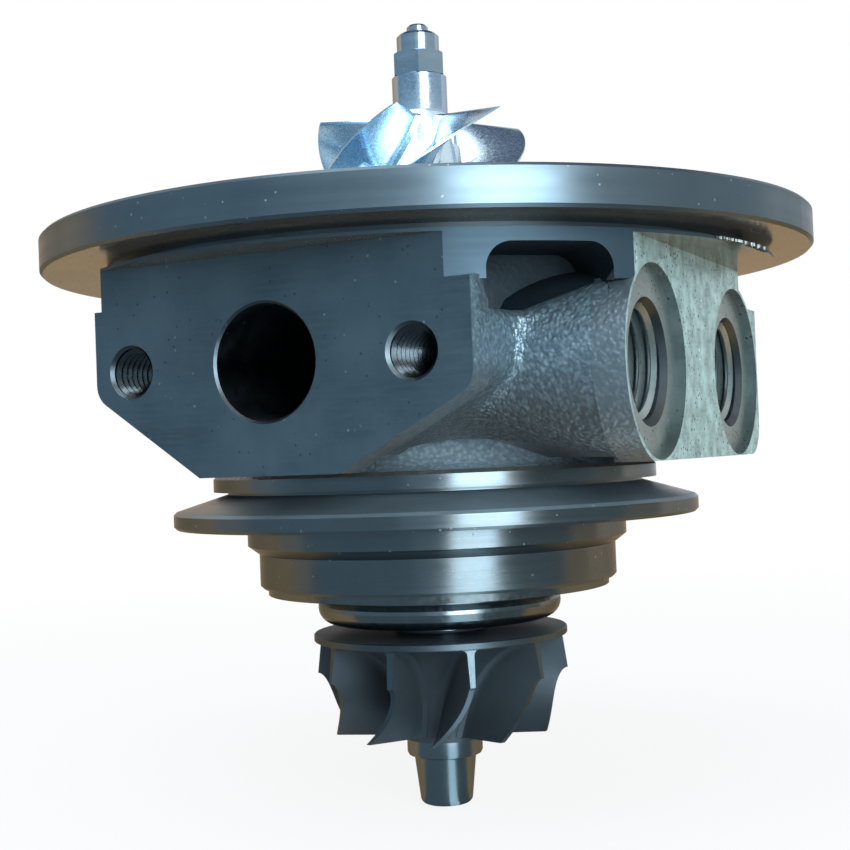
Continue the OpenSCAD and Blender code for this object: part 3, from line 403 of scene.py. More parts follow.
def cast(name, color, sparkle_color, low_shade_color, roughness, depth_mm, low_shade_from, low_shade_to):
    """Rough cast iron with a painted highlight on its crests and a painted brown shade that sets in
    between two heights in millimetres.
    """
    material, tree, shader = finish(name, color, 0.45, roughness)
    grain = effect(tree, cast_grain, Scale=1700.0)
    z = add(tree, "ShaderNodeSeparateXYZ", {0: object_place(tree)}).outputs[2]
    low_shade = maths(tree, "MULTIPLY", ramp(tree, z, low_shade_from * MM, low_shade_to * MM), LOW_SHADE_SHARE)
    base = blend(tree, low_shade, rgb(*color), rgb(*low_shade_color))
    crest_sparkle = maths(tree, "SUBTRACT", SPARKLE_SHARE, maths(tree, "MULTIPLY", low_shade, SPARKLE_SHARE))
    base = blend(tree, maths(tree, "MULTIPLY", grain["Crest"], crest_sparkle), base, rgb(*sparkle_color))
    rough = ramp(tree, grain["Patch"], 0.0, 1.0, roughness - 0.08, roughness + 0.10)
    link_in(tree, shader, {"Base Color": base, "Roughness": rough})
    relief(tree, shader, grain["Height"], depth_mm, 0.8)
    return material


cast_iron = cast("cast_iron", (0.12, 0.155, 0.175), (0.20, 0.25, 0.28), (0.13, 0.11, 0.09),
                 0.38, 0.16, -21, -28)
cast_neck = cast("cast_neck", (0.120, 0.170, 0.200), (0.31, 0.41, 0.46), (0.066, 0.050, 0.034),
                 0.34, 0.08, -18, -24.5)
# The skirt is a paler copy of the cast iron: painted light from the front.
skirt_painted_light = cast("skirt_painted_light", (0.32, 0.41, 0.46), (0.75, 0.88, 0.95), (0.32, 0.41, 0.46),
                  0.28, 0.08, -30, -40)
# The pocket's near-black colour is painted shade in the recess; it is also rougher.
pocket_painted_shade = cast("pocket_painted_shade", (0.010, 0.020, 0.027), (0.016, 0.030, 0.039), (0.05, 0.045, 0.04),
                   0.60, 0.05, -20, -30)
print("cast finishes:", cast_iron.name, cast_neck.name, skirt_painted_light.name, pocket_painted_shade.name)

# %% [markdown]
# ### Bores, threads, wheels and small pieces
# Bores are dark with oil. The drain screws' threads are painted dark, as painted shade inside their
# holes; the threads of the ports are bare. The turbine wheel is investment cast and blasted to a fine
# satin, bright along its blades' edges; its back is near black, partly soot and partly painted shade
# under the heat shield. The compressor wheel is milled aluminium, the nut and the shaft are bright
# ground steel. The inner pieces, which a taken-apart part shows, get bronze, spring steel and rubber.
# Most share one recipe, a fine grit in the roughness and the relief; what was turned takes the recipe
# above.

# %% Other finishes


def satin(name, color, tint, metallic, roughness, grain_scale, depth_mm, gloss=0.5):
    """A metal with fine even grain and a second tint in blotches."""
    material, tree, shader = finish(name, color, metallic, roughness, **{
        "Specular Tint": EDGE_TINT, "Specular IOR Level": gloss})
    grit = noise_at(tree, object_place(tree), grain_scale, 2.0)[0]
    cloud = effect(tree, blotches, Scale=110.0)["Mask"]
    base = blend(tree, cloud, rgb(*color), rgb(*tint))
    rough = ramp(tree, grit, 0.3, 0.7, roughness - 0.07, roughness + 0.07)
    link_in(tree, shader, {"Base Color": base, "Roughness": rough})
    relief(tree, shader, grit, depth_mm, 0.6)
    return material


bored_iron = turned("bored_iron", (0.12, 0.145, 0.16), (0.09, 0.105, 0.115), 0.36, 2500.0, 0.02,
                    (0.16, 0.16, 0.15), 0.05)
# The drain screws' threads are a dark copy of the thread steel: painted shade inside their holes.
screw_thread_painted_shade = satin("screw_thread_painted_shade", (0.075, 0.090, 0.098), (0.05, 0.06, 0.065),
                     1.0, 0.22, 3000.0, 0.006)
port_thread = satin("port_thread", (0.42, 0.48, 0.48), (0.30, 0.34, 0.33), 0.9, 0.34, 3000.0, 0.006)
turbine_satin = satin("turbine_satin", (0.075, 0.093, 0.106), (0.060, 0.075, 0.086),
                      0.40, 0.52, 5000.0, 0.006)
turbine_nose = turned("turbine_nose", (0.22, 0.265, 0.29), (0.18, 0.22, 0.24), 0.30, 3000.0, 0.012,
                      (0.30, 0.34, 0.36), 0.03)
turbine_edge = satin("turbine_edge", (0.13, 0.16, 0.18), (0.10, 0.125, 0.14), 1.0, 0.38, 5000.0, 0.004)
# The back's near black is partly soot and partly painted shade in the gap under the heat shield.
turbine_soot_and_shade = satin("turbine_soot_and_shade", (0.018, 0.022, 0.026), (0.026, 0.030, 0.034),
                     0.0, 0.70, 3000.0, 0.01, gloss=0.03)
sheet_steel = satin("sheet_steel", (0.20, 0.235, 0.255), (0.17, 0.185, 0.185), 1.0, 0.20, 1500.0, 0.003)
milled_aluminium = satin("milled_aluminium", (0.64, 0.80, 0.91), (0.57, 0.73, 0.85),
                         1.0, 0.24, 2500.0, 0.0008)
turned_aluminium = satin("turned_aluminium", (0.42, 0.53, 0.65), (0.36, 0.46, 0.58),
                         1.0, 0.22, 2500.0, 0.0008)
ground_steel = turned("ground_steel", (0.40, 0.48, 0.56), (0.32, 0.40, 0.47), 0.18, 5000.0, 0.003,
                      (0.50, 0.56, 0.60), 0.03)
spring_steel = satin("spring_steel", (0.16, 0.17, 0.18), (0.12, 0.12, 0.13), 1.0, 0.34, 2500.0, 0.01)
bronze = satin("bronze", (0.50, 0.33, 0.14), (0.42, 0.26, 0.10), 1.0, 0.30, 2500.0, 0.012)
rubber = satin("rubber", (0.022, 0.022, 0.024), (0.032, 0.031, 0.030), 0.0, 0.62, 2500.0, 0.02)
seal_aluminium = turned("seal_aluminium", (0.52, 0.55, 0.58), (0.46, 0.48, 0.51), 0.30, 3500.0, 0.015,
                        (0.62, 0.63, 0.64), 0.02)
burr_steel = satin("burr_steel", (0.26, 0.27, 0.26), (0.14, 0.14, 0.12), 1.0, 0.34, 2500.0, 0.02)
print("finishes in all:", len([m for m in bpy.data.materials if m.node_tree]))

# %% [markdown]
# ## Putting finishes on the solids
# The housing is one casting that was machined in places, so its faces need different finishes with
# crisp borders. Painting masks would blur them. Each face of the mesh knows its centre and its
# direction, and that is enough to tell which tool made it. First come the places where the tools
# worked, in millimetres.

# %% Where the housing was machined
PORT_TURN = math.radians(2)
PORT_NORMAL = Vector((math.cos(PORT_TURN), math.sin(PORT_TURN), 0))
PORT_SIDE = Vector((-math.sin(PORT_TURN), math.cos(PORT_TURN), 0))
DRAIN_FACE, PORT_FACE, PORT_SPOT, FEED_FACE = 42.0, 40.0, 38.8, 40.0
Z_UNDER, Z_LAND, Z_DECK, Z_COLLAR, Z_PILOT_END = -2.45, -3.65, -9.45, -31.15, -44
Z_DRAIN, Z_PORT, Z_FEED = -17.05, -18.65, -17.35
PORT_SIDES, SCREW_SIDE = (-20.0, 17.5), 20.0
POCKET_TURN = math.radians(-45.1)
POCKET_AXIS = Vector((math.cos(POCKET_TURN), math.sin(POCKET_TURN), 0))
POCKET_SIDE = Vector((-POCKET_AXIS.y, POCKET_AXIS.x, 0))
LAND_R, DECK_R, UNDERCUT_R = 48.6, 45.0, 44.5
WHEEL_RECESS_R, SHIELD_SEAT_R, INNER_R = 21.5, 22, 23
NEAR, NEAR_R, LIP_T = 0.06, 0.1, 0.45
print("the pocket looks along", [round(v, 3) for v in POCKET_AXIS])

# %% [markdown]
# Holes need one more test. A face is in a hole where it lies closer to the hole's axis than a little
# over the hole's radius, and not deeper than the hole goes.

# %% Which faces are inside a hole or the pocket
DRAIN_WITHIN, SCREW_WITHIN, FEED_WITHIN = (8.2, -8), (3.6, -29), (7.2, 20)
PORT_WITHIN, SPOT_WITHIN = (8.0, 12), (11.9, PORT_SPOT - NEAR)
POCKET_Z, POCKET_FROM, POCKET_TO, POCKET_REACH = -16, 12, 46.5, 9


def in_port(c, within):
    """Whether a point lies in one of the two coolant ports, or in a spot face's counterbore."""
    r, depth = within
    side = c.dot(PORT_SIDE)
    return c.dot(PORT_NORMAL) > depth and any(
        math.hypot(side - s, c.z - Z_PORT) < r for s in PORT_SIDES)


def in_bore(c):
    """Whether a point lies in the drain, a drain screw's hole, a coolant port or the oil feed."""
    return (math.hypot(c.x, c.z - Z_DRAIN) < DRAIN_WITHIN[0] and c.y < DRAIN_WITHIN[1]
            or math.hypot(abs(c.x) - SCREW_SIDE, c.z - Z_DRAIN) < SCREW_WITHIN[0]
            and c.y < SCREW_WITHIN[1]
            or math.hypot(c.x, c.z - Z_FEED) < FEED_WITHIN[0] and c.y > FEED_WITHIN[1]
            or in_port(c, PORT_WITHIN))


def in_pocket(c):
    """Whether a point lies in the pocket of the neck."""
    return (POCKET_Z < c.z < Z_LAND and POCKET_FROM < c.dot(POCKET_AXIS) < POCKET_TO
            and abs(c.dot(POCKET_SIDE)) < POCKET_REACH)


print("middle of the drain is in a bore:", in_bore(Vector((0, -DRAIN_FACE, Z_DRAIN))))

# %% [markdown]
# The tests then run from the outside in: disc, milled faces, turned lands, flange and pilot, holes,
# pocket. What is left is as cast. A normal that points mostly one way is enough for a turned face, but
# a milled face has to look squarely along its axis.

# %% Sort the housing's faces by how they were made
A_LITTLE, HALF, MOSTLY, SQUARELY = 0.3, 0.5, 0.9, 0.99


def housing_finish(c, n):
    """The finish of a housing face from its centre in millimetres and its normal."""
    r = math.hypot(c.x, c.y)
    depth, port_facing = c.dot(PORT_NORMAL), n.dot(PORT_NORMAL)
    outward = (n.x * c.x + n.y * c.y) / max(r, 0.001)
    if c.z > Z_UNDER - NEAR:
        if r < WHEEL_RECESS_R and outward < -A_LITTLE:
            return bored_iron
        # Upward faces of the disc take the paler copy: painted light.
        if n.z > MOSTLY:
            return disc_top_painted_light
        # Downward faces take the tan copy: a painted reflection of the wood below.
        return disc_under_painted_reflection if n.z < -MOSTLY else disc_turned
    if n.y < -SQUARELY and abs(c.y + DRAIN_FACE) < NEAR:
        return drain_painted_reflection
    if port_facing > SQUARELY and abs(depth - PORT_FACE) < NEAR:
        return port_milled
    if port_facing > SQUARELY and abs(depth - PORT_SPOT) < NEAR:
        return spot_milled
    if n.y > SQUARELY and abs(c.y - FEED_FACE) < NEAR:
        return port_milled
    # The lip's underside takes the same painted tan reflection.
    if c.z > Z_LAND - LIP_T and n.z < -MOSTLY:
        return disc_under_painted_reflection
    if c.z > Z_DECK - NEAR and abs(r - LAND_R) < NEAR_R and outward > MOSTLY:
        return land_turned
    if c.z > Z_LAND - NEAR:
        return undercut_turned
    if c.z > Z_DECK and outward > MOSTLY and min(abs(r - DECK_R), abs(r - UNDERCUT_R)) < NEAR_R:
        return land_turned
    if c.z < Z_COLLAR + 0.01 and r > SHIELD_SEAT_R:
        # The taper's upward faces take the paler copy: painted light.
        return taper_painted_light if n.z > HALF else flange_turned
    if r < SHIELD_SEAT_R and c.z < Z_PILOT_END:
        return flange_turned
    if in_port(c, SPOT_WITHIN) and not in_port(c, PORT_WITHIN):
        return spot_milled
    if in_bore(c) or r < INNER_R and outward < A_LITTLE:
        return bored_iron
    # The pocket takes the near-black copy of the cast iron: painted shade.
    return pocket_painted_shade if in_pocket(c) else cast_iron


housing = nodes["bearing_housing"]
housing.data.materials.clear()
slots_used = {}
for face in housing.data.polygons:
    chosen_finish = housing_finish(face.center / MM, face.normal)
    if chosen_finish.name not in slots_used:
        slots_used[chosen_finish.name] = len(slots_used)
        housing.data.materials.append(chosen_finish)
    face.material_index = slots_used[chosen_finish.name]
print("housing finishes:", slots_used)

# %% [markdown]
# The other nodes are each made in one way, so each takes one finish. Both wheels are listed too,
# although the pieces built below stand for them.

# %% One finish for each other node
NODE_FINISHES = {
    "heat_shield": sheet_steel, "rotor_shaft": ground_steel, "turbine_wheel": turbine_satin,
    "compressor_wheel": milled_aluminium, "shaft_nut": ground_steel, "compressor_side_bearing": bronze,
    "turbine_side_bearing": bronze, "thrust_bearing": bronze, "thrust_washer": ground_steel,
    "thrust_collar": ground_steel, "oil_flinger": ground_steel, "thrust_bearing_pins": spring_steel,
    "oil_deflector": spring_steel, "compressor_seal_ring": spring_steel,
    "turbine_seal_ring": spring_steel, "seal_plate_snap_ring": spring_steel,
    "bearing_clip_1": spring_steel, "bearing_clip_2": spring_steel, "bearing_clip_3": spring_steel,
    "bearing_clip_4": spring_steel, "seal_plate": seal_aluminium, "seal_plate_o_ring": rubber,
}
for node_name, node_finish in NODE_FINISHES.items():
    nodes[node_name].data.materials.clear()
    nodes[node_name].data.materials.append(node_finish)
print("plain nodes finished:", len(NODE_FINISHES))

# %% [markdown]
# ## Wheels
# The solid wheels have the right blades in a few flat strips. Here each blade is built again from the
# same rule, a straight element that runs from hub to shroud while it turns, with many more steps. Two
# details need that: the fillet that spreads every blade's root into the hub, and the leading edge that
# is rounded to nothing. The hubs are profiles turned about the axis.

# %% Hub builder


def revolve(profile, segments=128):
    """Points and faces of a closed profile (r, z) turned about the axis."""
    count = len(profile)
    points = [polar(r, 2 * math.pi * k / segments, z) for k in range(segments) for r, z in profile]
    faces = []
    for k in range(segments):
        here, there = k * count, (k + 1) % segments * count
        for i in range(count):
            j = (i + 1) % count
            faces.append((here + i, there + i, there + j, here + j))
    return points, faces


tried = revolve([(1, 0), (2, 0), (2, 1)])
print("a triangle turned about the axis:", len(tried[0]), "points", len(tried[1]), "faces")

# %% [markdown]
# A blade has a left and a right skin. At each step of its course a row of points climbs from just under
# the hub to the tip, closer together at the root, where the fillet is. The strips that close it along
# the tip and at both ends are kept apart, because a polished edge takes its own finish.

# %% Blade builder
ROWS_UP, ROOT_CROWDING, SINK = 14, 1.6, 0.5
NOSE_START, FLARE_AT_NOSE = 0.02, 0.35


def blade_rows(course, hub_at, tip_at, turn_at, root_t, tip_t, fillet, edge_round):
    """The rows of points of a blade's left and right skin."""
    skins = [], []
    first_hub, first_tip = np.array(hub_at(course[0])), np.array(tip_at(course[0]))
    for m in course:
        hub, tip = np.array(hub_at(m)), np.array(tip_at(m))
        span = np.linalg.norm(tip - hub)
        along = np.linalg.norm((hub + tip) / 2 - (first_hub + first_tip) / 2) + NOSE_START
        nose = 1.0
        if edge_round:
            nose = math.sqrt(max(0.0, 1 - (1 - min(along / edge_round, 1)) ** 2))
        turn = math.radians(turn_at(m))
        for rows in skins:
            rows.append([])
        for i in range(ROWS_UP + 1):
            d = -SINK + (i / ROWS_UP) ** ROOT_CROWDING * (span + SINK)
            p = hub + (tip - hub) * d / span
            reach = min(max(d, 0.0) / fillet, 1.0)
            flare = fillet * (1 - math.sqrt(1 - (1 - reach) ** 2))
            half = ((root_t + (tip_t - root_t) * max(d, 0.0) / span) / 2 * nose
                    + flare * (FLARE_AT_NOSE + (1 - FLARE_AT_NOSE) * nose))
            for rows, sign in zip(skins, (1, -1)):
                rows[-1].append((p[0] * math.cos(turn) - sign * half * math.sin(turn),
                                 p[0] * math.sin(turn) + sign * half * math.cos(turn), p[1]))
    return skins


def blade(course, *rule):
    """Points, faces and edge faces of one blade, closed all round."""
    lefts, rights = blade_rows(course, *rule)
    points = [p for row in lefts + rights for p in row]
    width, last = ROWS_UP + 1, len(lefts) - 1
    back = len(lefts) * width
    faces, edges = [], []
    for j in range(last):
        for a in range(j * width, j * width + ROWS_UP):
            faces.append((a, a + 1, a + 1 + width, a + width))
            faces.append((back + a, back + a + width, back + a + 1 + width, back + a + 1))
        root, top = j * width, j * width + ROWS_UP
        faces.append((back + root, back + root + width, root + width, root))
        edges.append((top, top + width, back + top + width, back + top))
    for j in (0, last):
        for a in range(j * width, j * width + ROWS_UP):
            quad = (a, a + 1, back + a + 1, back + a)
            edges.append(quad[::-1] if j == 0 else quad)
    return points, faces, edges


print("a blade has", ROWS_UP + 1, "points from hub to tip on each side")

# %% [markdown]
# A wheel is its hub and its blades in one mesh. The blades are one shell, spun round the shaft.

# %% Shells


def join_shells(shells):
    """One list of points and faces from several; the faces of their edges come last and are counted."""
    points, faces, edges = [], [], []
    for shell_points, *groups in shells:
        start = len(points)
        points += shell_points
        for kept, group in zip((faces, edges), groups):
            kept += [tuple(i + start for i in face) for face in group]
    return points, faces + edges, len(edges)


def spun(shell, degrees):
    """A shell turned about the shaft."""
    c, s = math.cos(math.radians(degrees)), math.sin(math.radians(degrees))
    return [(x * c - y * s, x * s + y * c, z) for x, y, z in shell[0]], *shell[1:]


print("two hubs joined:", len(join_shells([tried, spun(tried, 90)])[0]), "points")

# %% [markdown]
# ### Turbine wheel
# Gas comes in round the rim and leaves along the axis, so hub and shroud are quarter ellipses. The
# blades stand straight at the rim and wrap as they run out.

# %% Turbine course
TURB_IN_R, TURB_OUT_R, TURB_IN_H, TURB_BLADE_L = 18.1, 15.5, 5.0, 13.1
TURB_HUB_R, TURB_NOSE_R, TURB_RIM_T = 5.4, 4.4, 1.0
Z_BOSS_END = -53.35
Z_TURB_BACK = Z_BOSS_END - 0.3
Z_TURB_FACE = Z_TURB_BACK - TURB_RIM_T
HUB_RUN = TURB_BLADE_L + 1.4
Z_TURB_STEP = Z_TURB_FACE - HUB_RUN - 2.35
Z_TURB_NOSE = Z_TURB_STEP - 7.0
TURB_BLADES, TURB_WRAP, TURB_TURN = 10, 19.0, -49.2
HUB_IN, TIP_IN = TURB_IN_R - 0.8, TURB_IN_R - 0.15


def quarter(m):
    """Angle in radians along a quarter turn."""
    return math.pi / 2 * m


def turbine_hub(m):
    return (TURB_HUB_R + (HUB_IN - TURB_HUB_R) * (1 - math.sin(quarter(m))),
            Z_TURB_FACE - HUB_RUN * (1 - math.cos(quarter(m))))


def turbine_tip(m):
    return (TURB_OUT_R + (TIP_IN - TURB_OUT_R) * (1 - math.sin(quarter(m))),
            Z_TURB_FACE - TURB_IN_H - (TURB_BLADE_L - TURB_IN_H) * (1 - math.cos(quarter(m))))


def turbine_turn(m):
    return -TURB_WRAP * (1 - math.cos(quarter(m))) ** 2


print("turbine blades end at radius", round(turbine_tip(1)[0], 2), "mm")

# %% Turbine wheel
NOSE_TAPER, NOSE_ROUND, WELD_R, AXIS_R = 0.65, 0.9, 6.5, 0.01
RIM_EDGE, NOSE_FINISH_UP, HUB_SHARE = 0.3, 2.0, 0.97

nose_end = TURB_NOSE_R - NOSE_TAPER
nose_arc = [(nose_end - NOSE_ROUND * (1 - math.cos(a)), Z_TURB_NOSE + NOSE_ROUND * (1 - math.sin(a)))
            for a in (quarter(i / 6) for i in range(7))]
turbine_profile = (
    [(AXIS_R, Z_BOSS_END), (WELD_R, Z_BOSS_END), (WELD_R, Z_TURB_BACK),
     (TURB_IN_R - 0.15, Z_TURB_BACK), (TURB_IN_R, Z_TURB_BACK - 0.15),
     (TURB_IN_R, Z_TURB_FACE + 0.1), (TURB_IN_R - 0.1, Z_TURB_FACE)]
    + [turbine_hub(i / 24) for i in range(25)]
    + [(TURB_HUB_R, Z_TURB_STEP + 0.5), (TURB_HUB_R - 0.2, Z_TURB_STEP + 0.1),
       (TURB_NOSE_R + 0.25, Z_TURB_STEP), (TURB_NOSE_R, Z_TURB_STEP - 0.3)]
    + nose_arc + [(AXIS_R, Z_TURB_NOSE)])
turbine_course = [i / 36 for i in range(37)]
one_blade = blade(turbine_course, lambda m: turbine_hub(HUB_SHARE * m), turbine_tip, turbine_turn,
                  1.0, 0.7, 0.8, 0)
turbine_points, turbine_faces, edge_count = join_shells([revolve(turbine_profile)] + [
    spun(one_blade, TURB_TURN + 360 / TURB_BLADES * k) for k in range(TURB_BLADES)])
turbine = piece("turbine_wheel_cast", turbine_points, turbine_faces, turbine_satin, "rotor")
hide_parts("turbine_wheel")
for other_finish in (turbine_edge, turbine_soot_and_shade, turbine_nose):
    turbine.data.materials.append(other_finish)
first_edge = len(turbine_faces) - edge_count
for face in turbine.data.polygons:
    r, z = math.hypot(face.center.x, face.center.y) / MM, face.center.z / MM
    if face.index >= first_edge or r > TURB_IN_R - RIM_EDGE and z > Z_TURB_FACE:
        face.material_index = 1
    # Upward faces of the back take the near-black finish: soot and painted shade.
    elif face.normal.z > MOSTLY and z > Z_TURB_FACE:
        face.material_index = 2
    elif r < TURB_HUB_R + 0.1 and z < Z_TURB_STEP + NOSE_FINISH_UP:
        face.material_index = 3
print("turbine blade edges:", edge_count, "faces")

# %% [markdown]
# ### Compressor wheel
# Air goes the other way, in along the axis and out at the rim. Six full blades start at the nose, and
# six splitters start further down between them. The plain nose under the nut is turned, the rest milled.

# %% Compressor course
COMP_OUT_R, COMP_IN_R, COMP_NOSE_R = 20.5, 14.9, 3.95
Z_WHEEL_BACK, Z_COMP_RIM, Z_COMP_IN, Z_COMP_NOSE = 1.3, 2.45, 18.75, 25.7
COMP_OUT_H, COMP_WRAP, COMP_TURN, COMP_BLADES = 2.4, 87.0, -74.5, 6
HUB_IN_R, HUB_IN_Z = COMP_NOSE_R + 0.35, Z_COMP_IN + 0.85
SPLITTER_START, CURL, SHROUD_ROUND = 0.37, 0.8, 1.5
BLADE_OUT_R = COMP_OUT_R - 0.2


def compressor_hub(m):
    return (HUB_IN_R + (BLADE_OUT_R - HUB_IN_R) * (1 - math.cos(quarter(m))),
            Z_COMP_RIM + (HUB_IN_Z - Z_COMP_RIM) * (1 - math.sin(quarter(m))))


def compressor_tip(m):
    outlet = Z_COMP_RIM + COMP_OUT_H
    return (COMP_IN_R + (BLADE_OUT_R - COMP_IN_R) * (1 - math.cos(quarter(m))) ** SHROUD_ROUND,
            outlet + (Z_COMP_IN - Z_COMP_RIM - COMP_OUT_H) * (1 - math.sin(quarter(m))))


def compressor_turn(m):
    return -COMP_WRAP * ((1 + CURL) * m - CURL * m * m)


print("compressor blades turn", round(-compressor_turn(1), 1), "degrees")

# %% Compressor wheel
WHEEL_BORE_R, TURNED_FROM = 2.02, 0.3
compressor_profile = (
    [(WHEEL_BORE_R, Z_WHEEL_BACK), (COMP_OUT_R - 0.1, Z_WHEEL_BACK), (COMP_OUT_R, Z_WHEEL_BACK + 0.1),
     (COMP_OUT_R, Z_COMP_RIM)]
    + [compressor_hub(1 - i / 30) for i in range(31)]
    + [(COMP_NOSE_R + 0.08, HUB_IN_Z + 0.4), (COMP_NOSE_R, HUB_IN_Z + 0.85),
       (COMP_NOSE_R, Z_COMP_NOSE - 0.15), (COMP_NOSE_R - 0.15, Z_COMP_NOSE),
       (WHEEL_BORE_R, Z_COMP_NOSE)])
compressor_shells = [revolve(compressor_profile)]
pitch = 360 / COMP_BLADES
for start in (0.0, SPLITTER_START):
    course = [start + (1 - start) * (i / 40) ** 1.3 for i in range(41)]
    shell = blade(course, compressor_hub, compressor_tip, compressor_turn, 0.9, 0.5, 0.9, 0.6)
    for k in range(COMP_BLADES):
        compressor_shells.append(spun(shell, COMP_TURN + pitch * k + (pitch / 2 if start else 0)))
compressor_points, compressor_faces, _ = join_shells(compressor_shells)
compressor = piece("compressor_wheel_milled", compressor_points, compressor_faces, milled_aluminium,
                   "rotor")
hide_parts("compressor_wheel")
compressor.data.materials.append(turned_aluminium)
for face in compressor.data.polygons:
    face.material_index = int(face.center.z / MM > HUB_IN_Z + TURNED_FROM)

# %% [markdown]
# ## Screw threads
# The tapped holes are plain cylinders in the solids. A thread could be a bump, but its ridges catch
# light and hide each other, so it is a coil: a small ridge with a narrow crest swept along a helix,
# which sinks into the wall at both ends. Its root lies a little inside the wall.

# %% Threads
ROOT_SINK, ROOT_HALF, CREST_HALF, TURN_STEPS = 0.15, 0.48, 0.06, 40


def swept(steps):
    """Faces of a four-sided section carried along a path, closed at both ends."""
    faces = []
    for a in range(0, 4 * steps, 4):
        for i in range(4):
            j = (i + 1) % 4
            faces.append((a + i, a + j, a + 4 + j, a + 4 + i))
    return faces + [(3, 2, 1, 0), tuple(4 * steps + i for i in range(4))]


def thread(name, mouth, inward, r, pitch, length, depth, material):
    """A coil of thread inside a hole, from its mouth inward, all in millimetres."""
    inward = Vector(inward).normalized()
    across = inward.orthogonal().normalized()
    beside = inward.cross(across)
    total = int(length / pitch * TURN_STEPS)
    points = []
    for k in range(total + 1):
        angle = 2 * math.pi * k / TURN_STEPS
        crest = depth * min(1.0, k / TURN_STEPS * 2, (total - k) / TURN_STEPS * 2)
        spoke = across * math.cos(angle) + beside * math.sin(angle)
        centre = Vector(mouth) + inward * (length * k / total)
        for lift, shift in ((-ROOT_SINK, -ROOT_HALF), (crest, -CREST_HALF), (crest, CREST_HALF),
                            (-ROOT_SINK, ROOT_HALF)):
            points.append(tuple(centre + spoke * (r - lift) + inward * (shift * pitch)))
    return piece(name, points, swept(total), material, "housing", sharp_deg=30)


# The drain screws' threads take the dark copy: painted shade.
for index, x in enumerate((-SCREW_SIDE, SCREW_SIDE)):
    thread(f"drain_screw_thread_{index + 1}", (x, -41.5, Z_DRAIN), (0, 1, 0), 3.0, 1.0, 11.0, 0.5,
           screw_thread_painted_shade)
for index, side in enumerate(PORT_SIDES):
    mouth = PORT_NORMAL * 38.0 + PORT_SIDE * side + Vector((0, 0, Z_PORT))
    thread(f"coolant_port_thread_{index + 1}", mouth, -PORT_NORMAL, 7.0, 1.5, 10.5, 0.75, port_thread)
thread("oil_feed_thread", (0, 39.2, Z_FEED), (0, -1, 0), 6.0, 1.25, 10.5, 0.6, port_thread)

# %% [markdown]
# ## Cast skins
# The neck between the drain pad and the coolant boss, and the skirt under it, are the roughest surfaces
# in view. Bump alone leaves their outlines and highlights too smooth, so a fine grid is laid over each:
# the same family of curves as the solid, pushed out along its normal by round grains, soft swellings
# and fine grit.

# %% Grain and grid helpers
GRAIN_H, GRAINS_PER_MM = 0.15, 2.3
SWELL_H, SWELLS_PER_MM = 0.04, 0.45
GRIT_H, GRITS_PER_MM = 0.02, 5.1
EDGE_FADE = 5


def grain_height(p):
    """Height of the cast grain at a point in millimetres."""
    away = noise.voronoi(p * GRAINS_PER_MM, distance_metric="DISTANCE", exponent=2.5)[0][0]
    return (GRAIN_H * (0.5 - min(away, 1.0)) + SWELL_H * noise.noise(p * SWELLS_PER_MM)
            + GRIT_H * noise.noise(p * GRITS_PER_MM))


def cast_skin(name, grid, outside, lift_at, material, closed=False):
    """A grid of points pushed out along its normals; outside is a direction at its middle."""
    rows, columns = grid.shape[:2]
    normals = np.cross(np.gradient(grid, axis=0), np.gradient(grid, axis=1))
    normals /= np.linalg.norm(normals, axis=2, keepdims=True)
    normals *= np.sign(normals[rows // 2, columns // 2] @ np.array(outside))
    points = [tuple(grid[j, i] + normals[j, i] * lift_at(i, j, Vector(grid[j, i])))
              for j in range(rows) for i in range(columns)]
    faces = []
    for j in range(rows - 1):
        for i in range(columns if closed else columns - 1):
            a, b = j * columns + i, j * columns + (i + 1) % columns
            faces.append((a, b, b + columns, a + columns))
    return piece(name, points, faces, material, "housing", sharp_deg=180)


print("grain at the origin:", round(grain_height(Vector((0, 0, 0))), 3), "mm")

# %% [markdown]
# ### The neck's course
# The neck is a loft: every line across it is a cubic curve that leaves the pad's edge square to the
# pad and meets the boss along the port's axis. Lower lines reach further in and bulge upward.

# %% Neck course
PAD_EDGE_Y, PAD_RIGHT, PAD_SHOULDER_Z = -41.8, 27.6, -20.25
PAD_FOOT_X, PAD_FOOT_Z = 11.4, -29.75
SKIN_TOP = Z_DECK + 0.45
PAD_CORNERS = [np.array((x, PAD_EDGE_Y, z)) for x, z in (
    (PAD_RIGHT, SKIN_TOP), (PAD_RIGHT, PAD_SHOULDER_Z), (PAD_FOOT_X, PAD_FOOT_Z))]
BOSS_SKIN_R, SKIN_DEPTH = 12.0, 37.0
BEND, ARCH, CORNER = 0.45, 4.0, 0.06
PAD_PULL, PAD_PULL_LOW, BOSS_PULL, BOSS_PULL_LOW = 11.5, 10, 12, 7
BOSS_FROM = 180 - math.degrees(math.asin((SKIN_TOP - Z_PORT) / BOSS_SKIN_R))
BOSS_TO = 250.0


def pad_edge(v):
    """The pad's right edge from the deck down to its foot, with a rounded shoulder."""
    top, shoulder, foot = PAD_CORNERS
    if v < BEND - CORNER:
        return top + (shoulder - top) * v / BEND
    if v > BEND + CORNER:
        return shoulder + (foot - shoulder) * (v - BEND) / (1 - BEND)
    before = top + (shoulder - top) * (1 - CORNER / BEND)
    after = shoulder + (foot - shoulder) * CORNER / (1 - BEND)
    t = (v - BEND + CORNER) / (2 * CORNER)
    return (1 - t) ** 2 * before + 2 * t * (1 - t) * shoulder + t * t * after


def boss_edge(v, depth):
    """A point round the near coolant boss, at a depth along the port's axis."""
    a = math.radians(BOSS_FROM + (BOSS_TO - BOSS_FROM) * v)
    place = PORT_NORMAL * depth + PORT_SIDE * (PORT_SIDES[0] + BOSS_SKIN_R * math.cos(a))
    return np.array((place.x, place.y, Z_PORT + BOSS_SKIN_R * math.sin(a)))


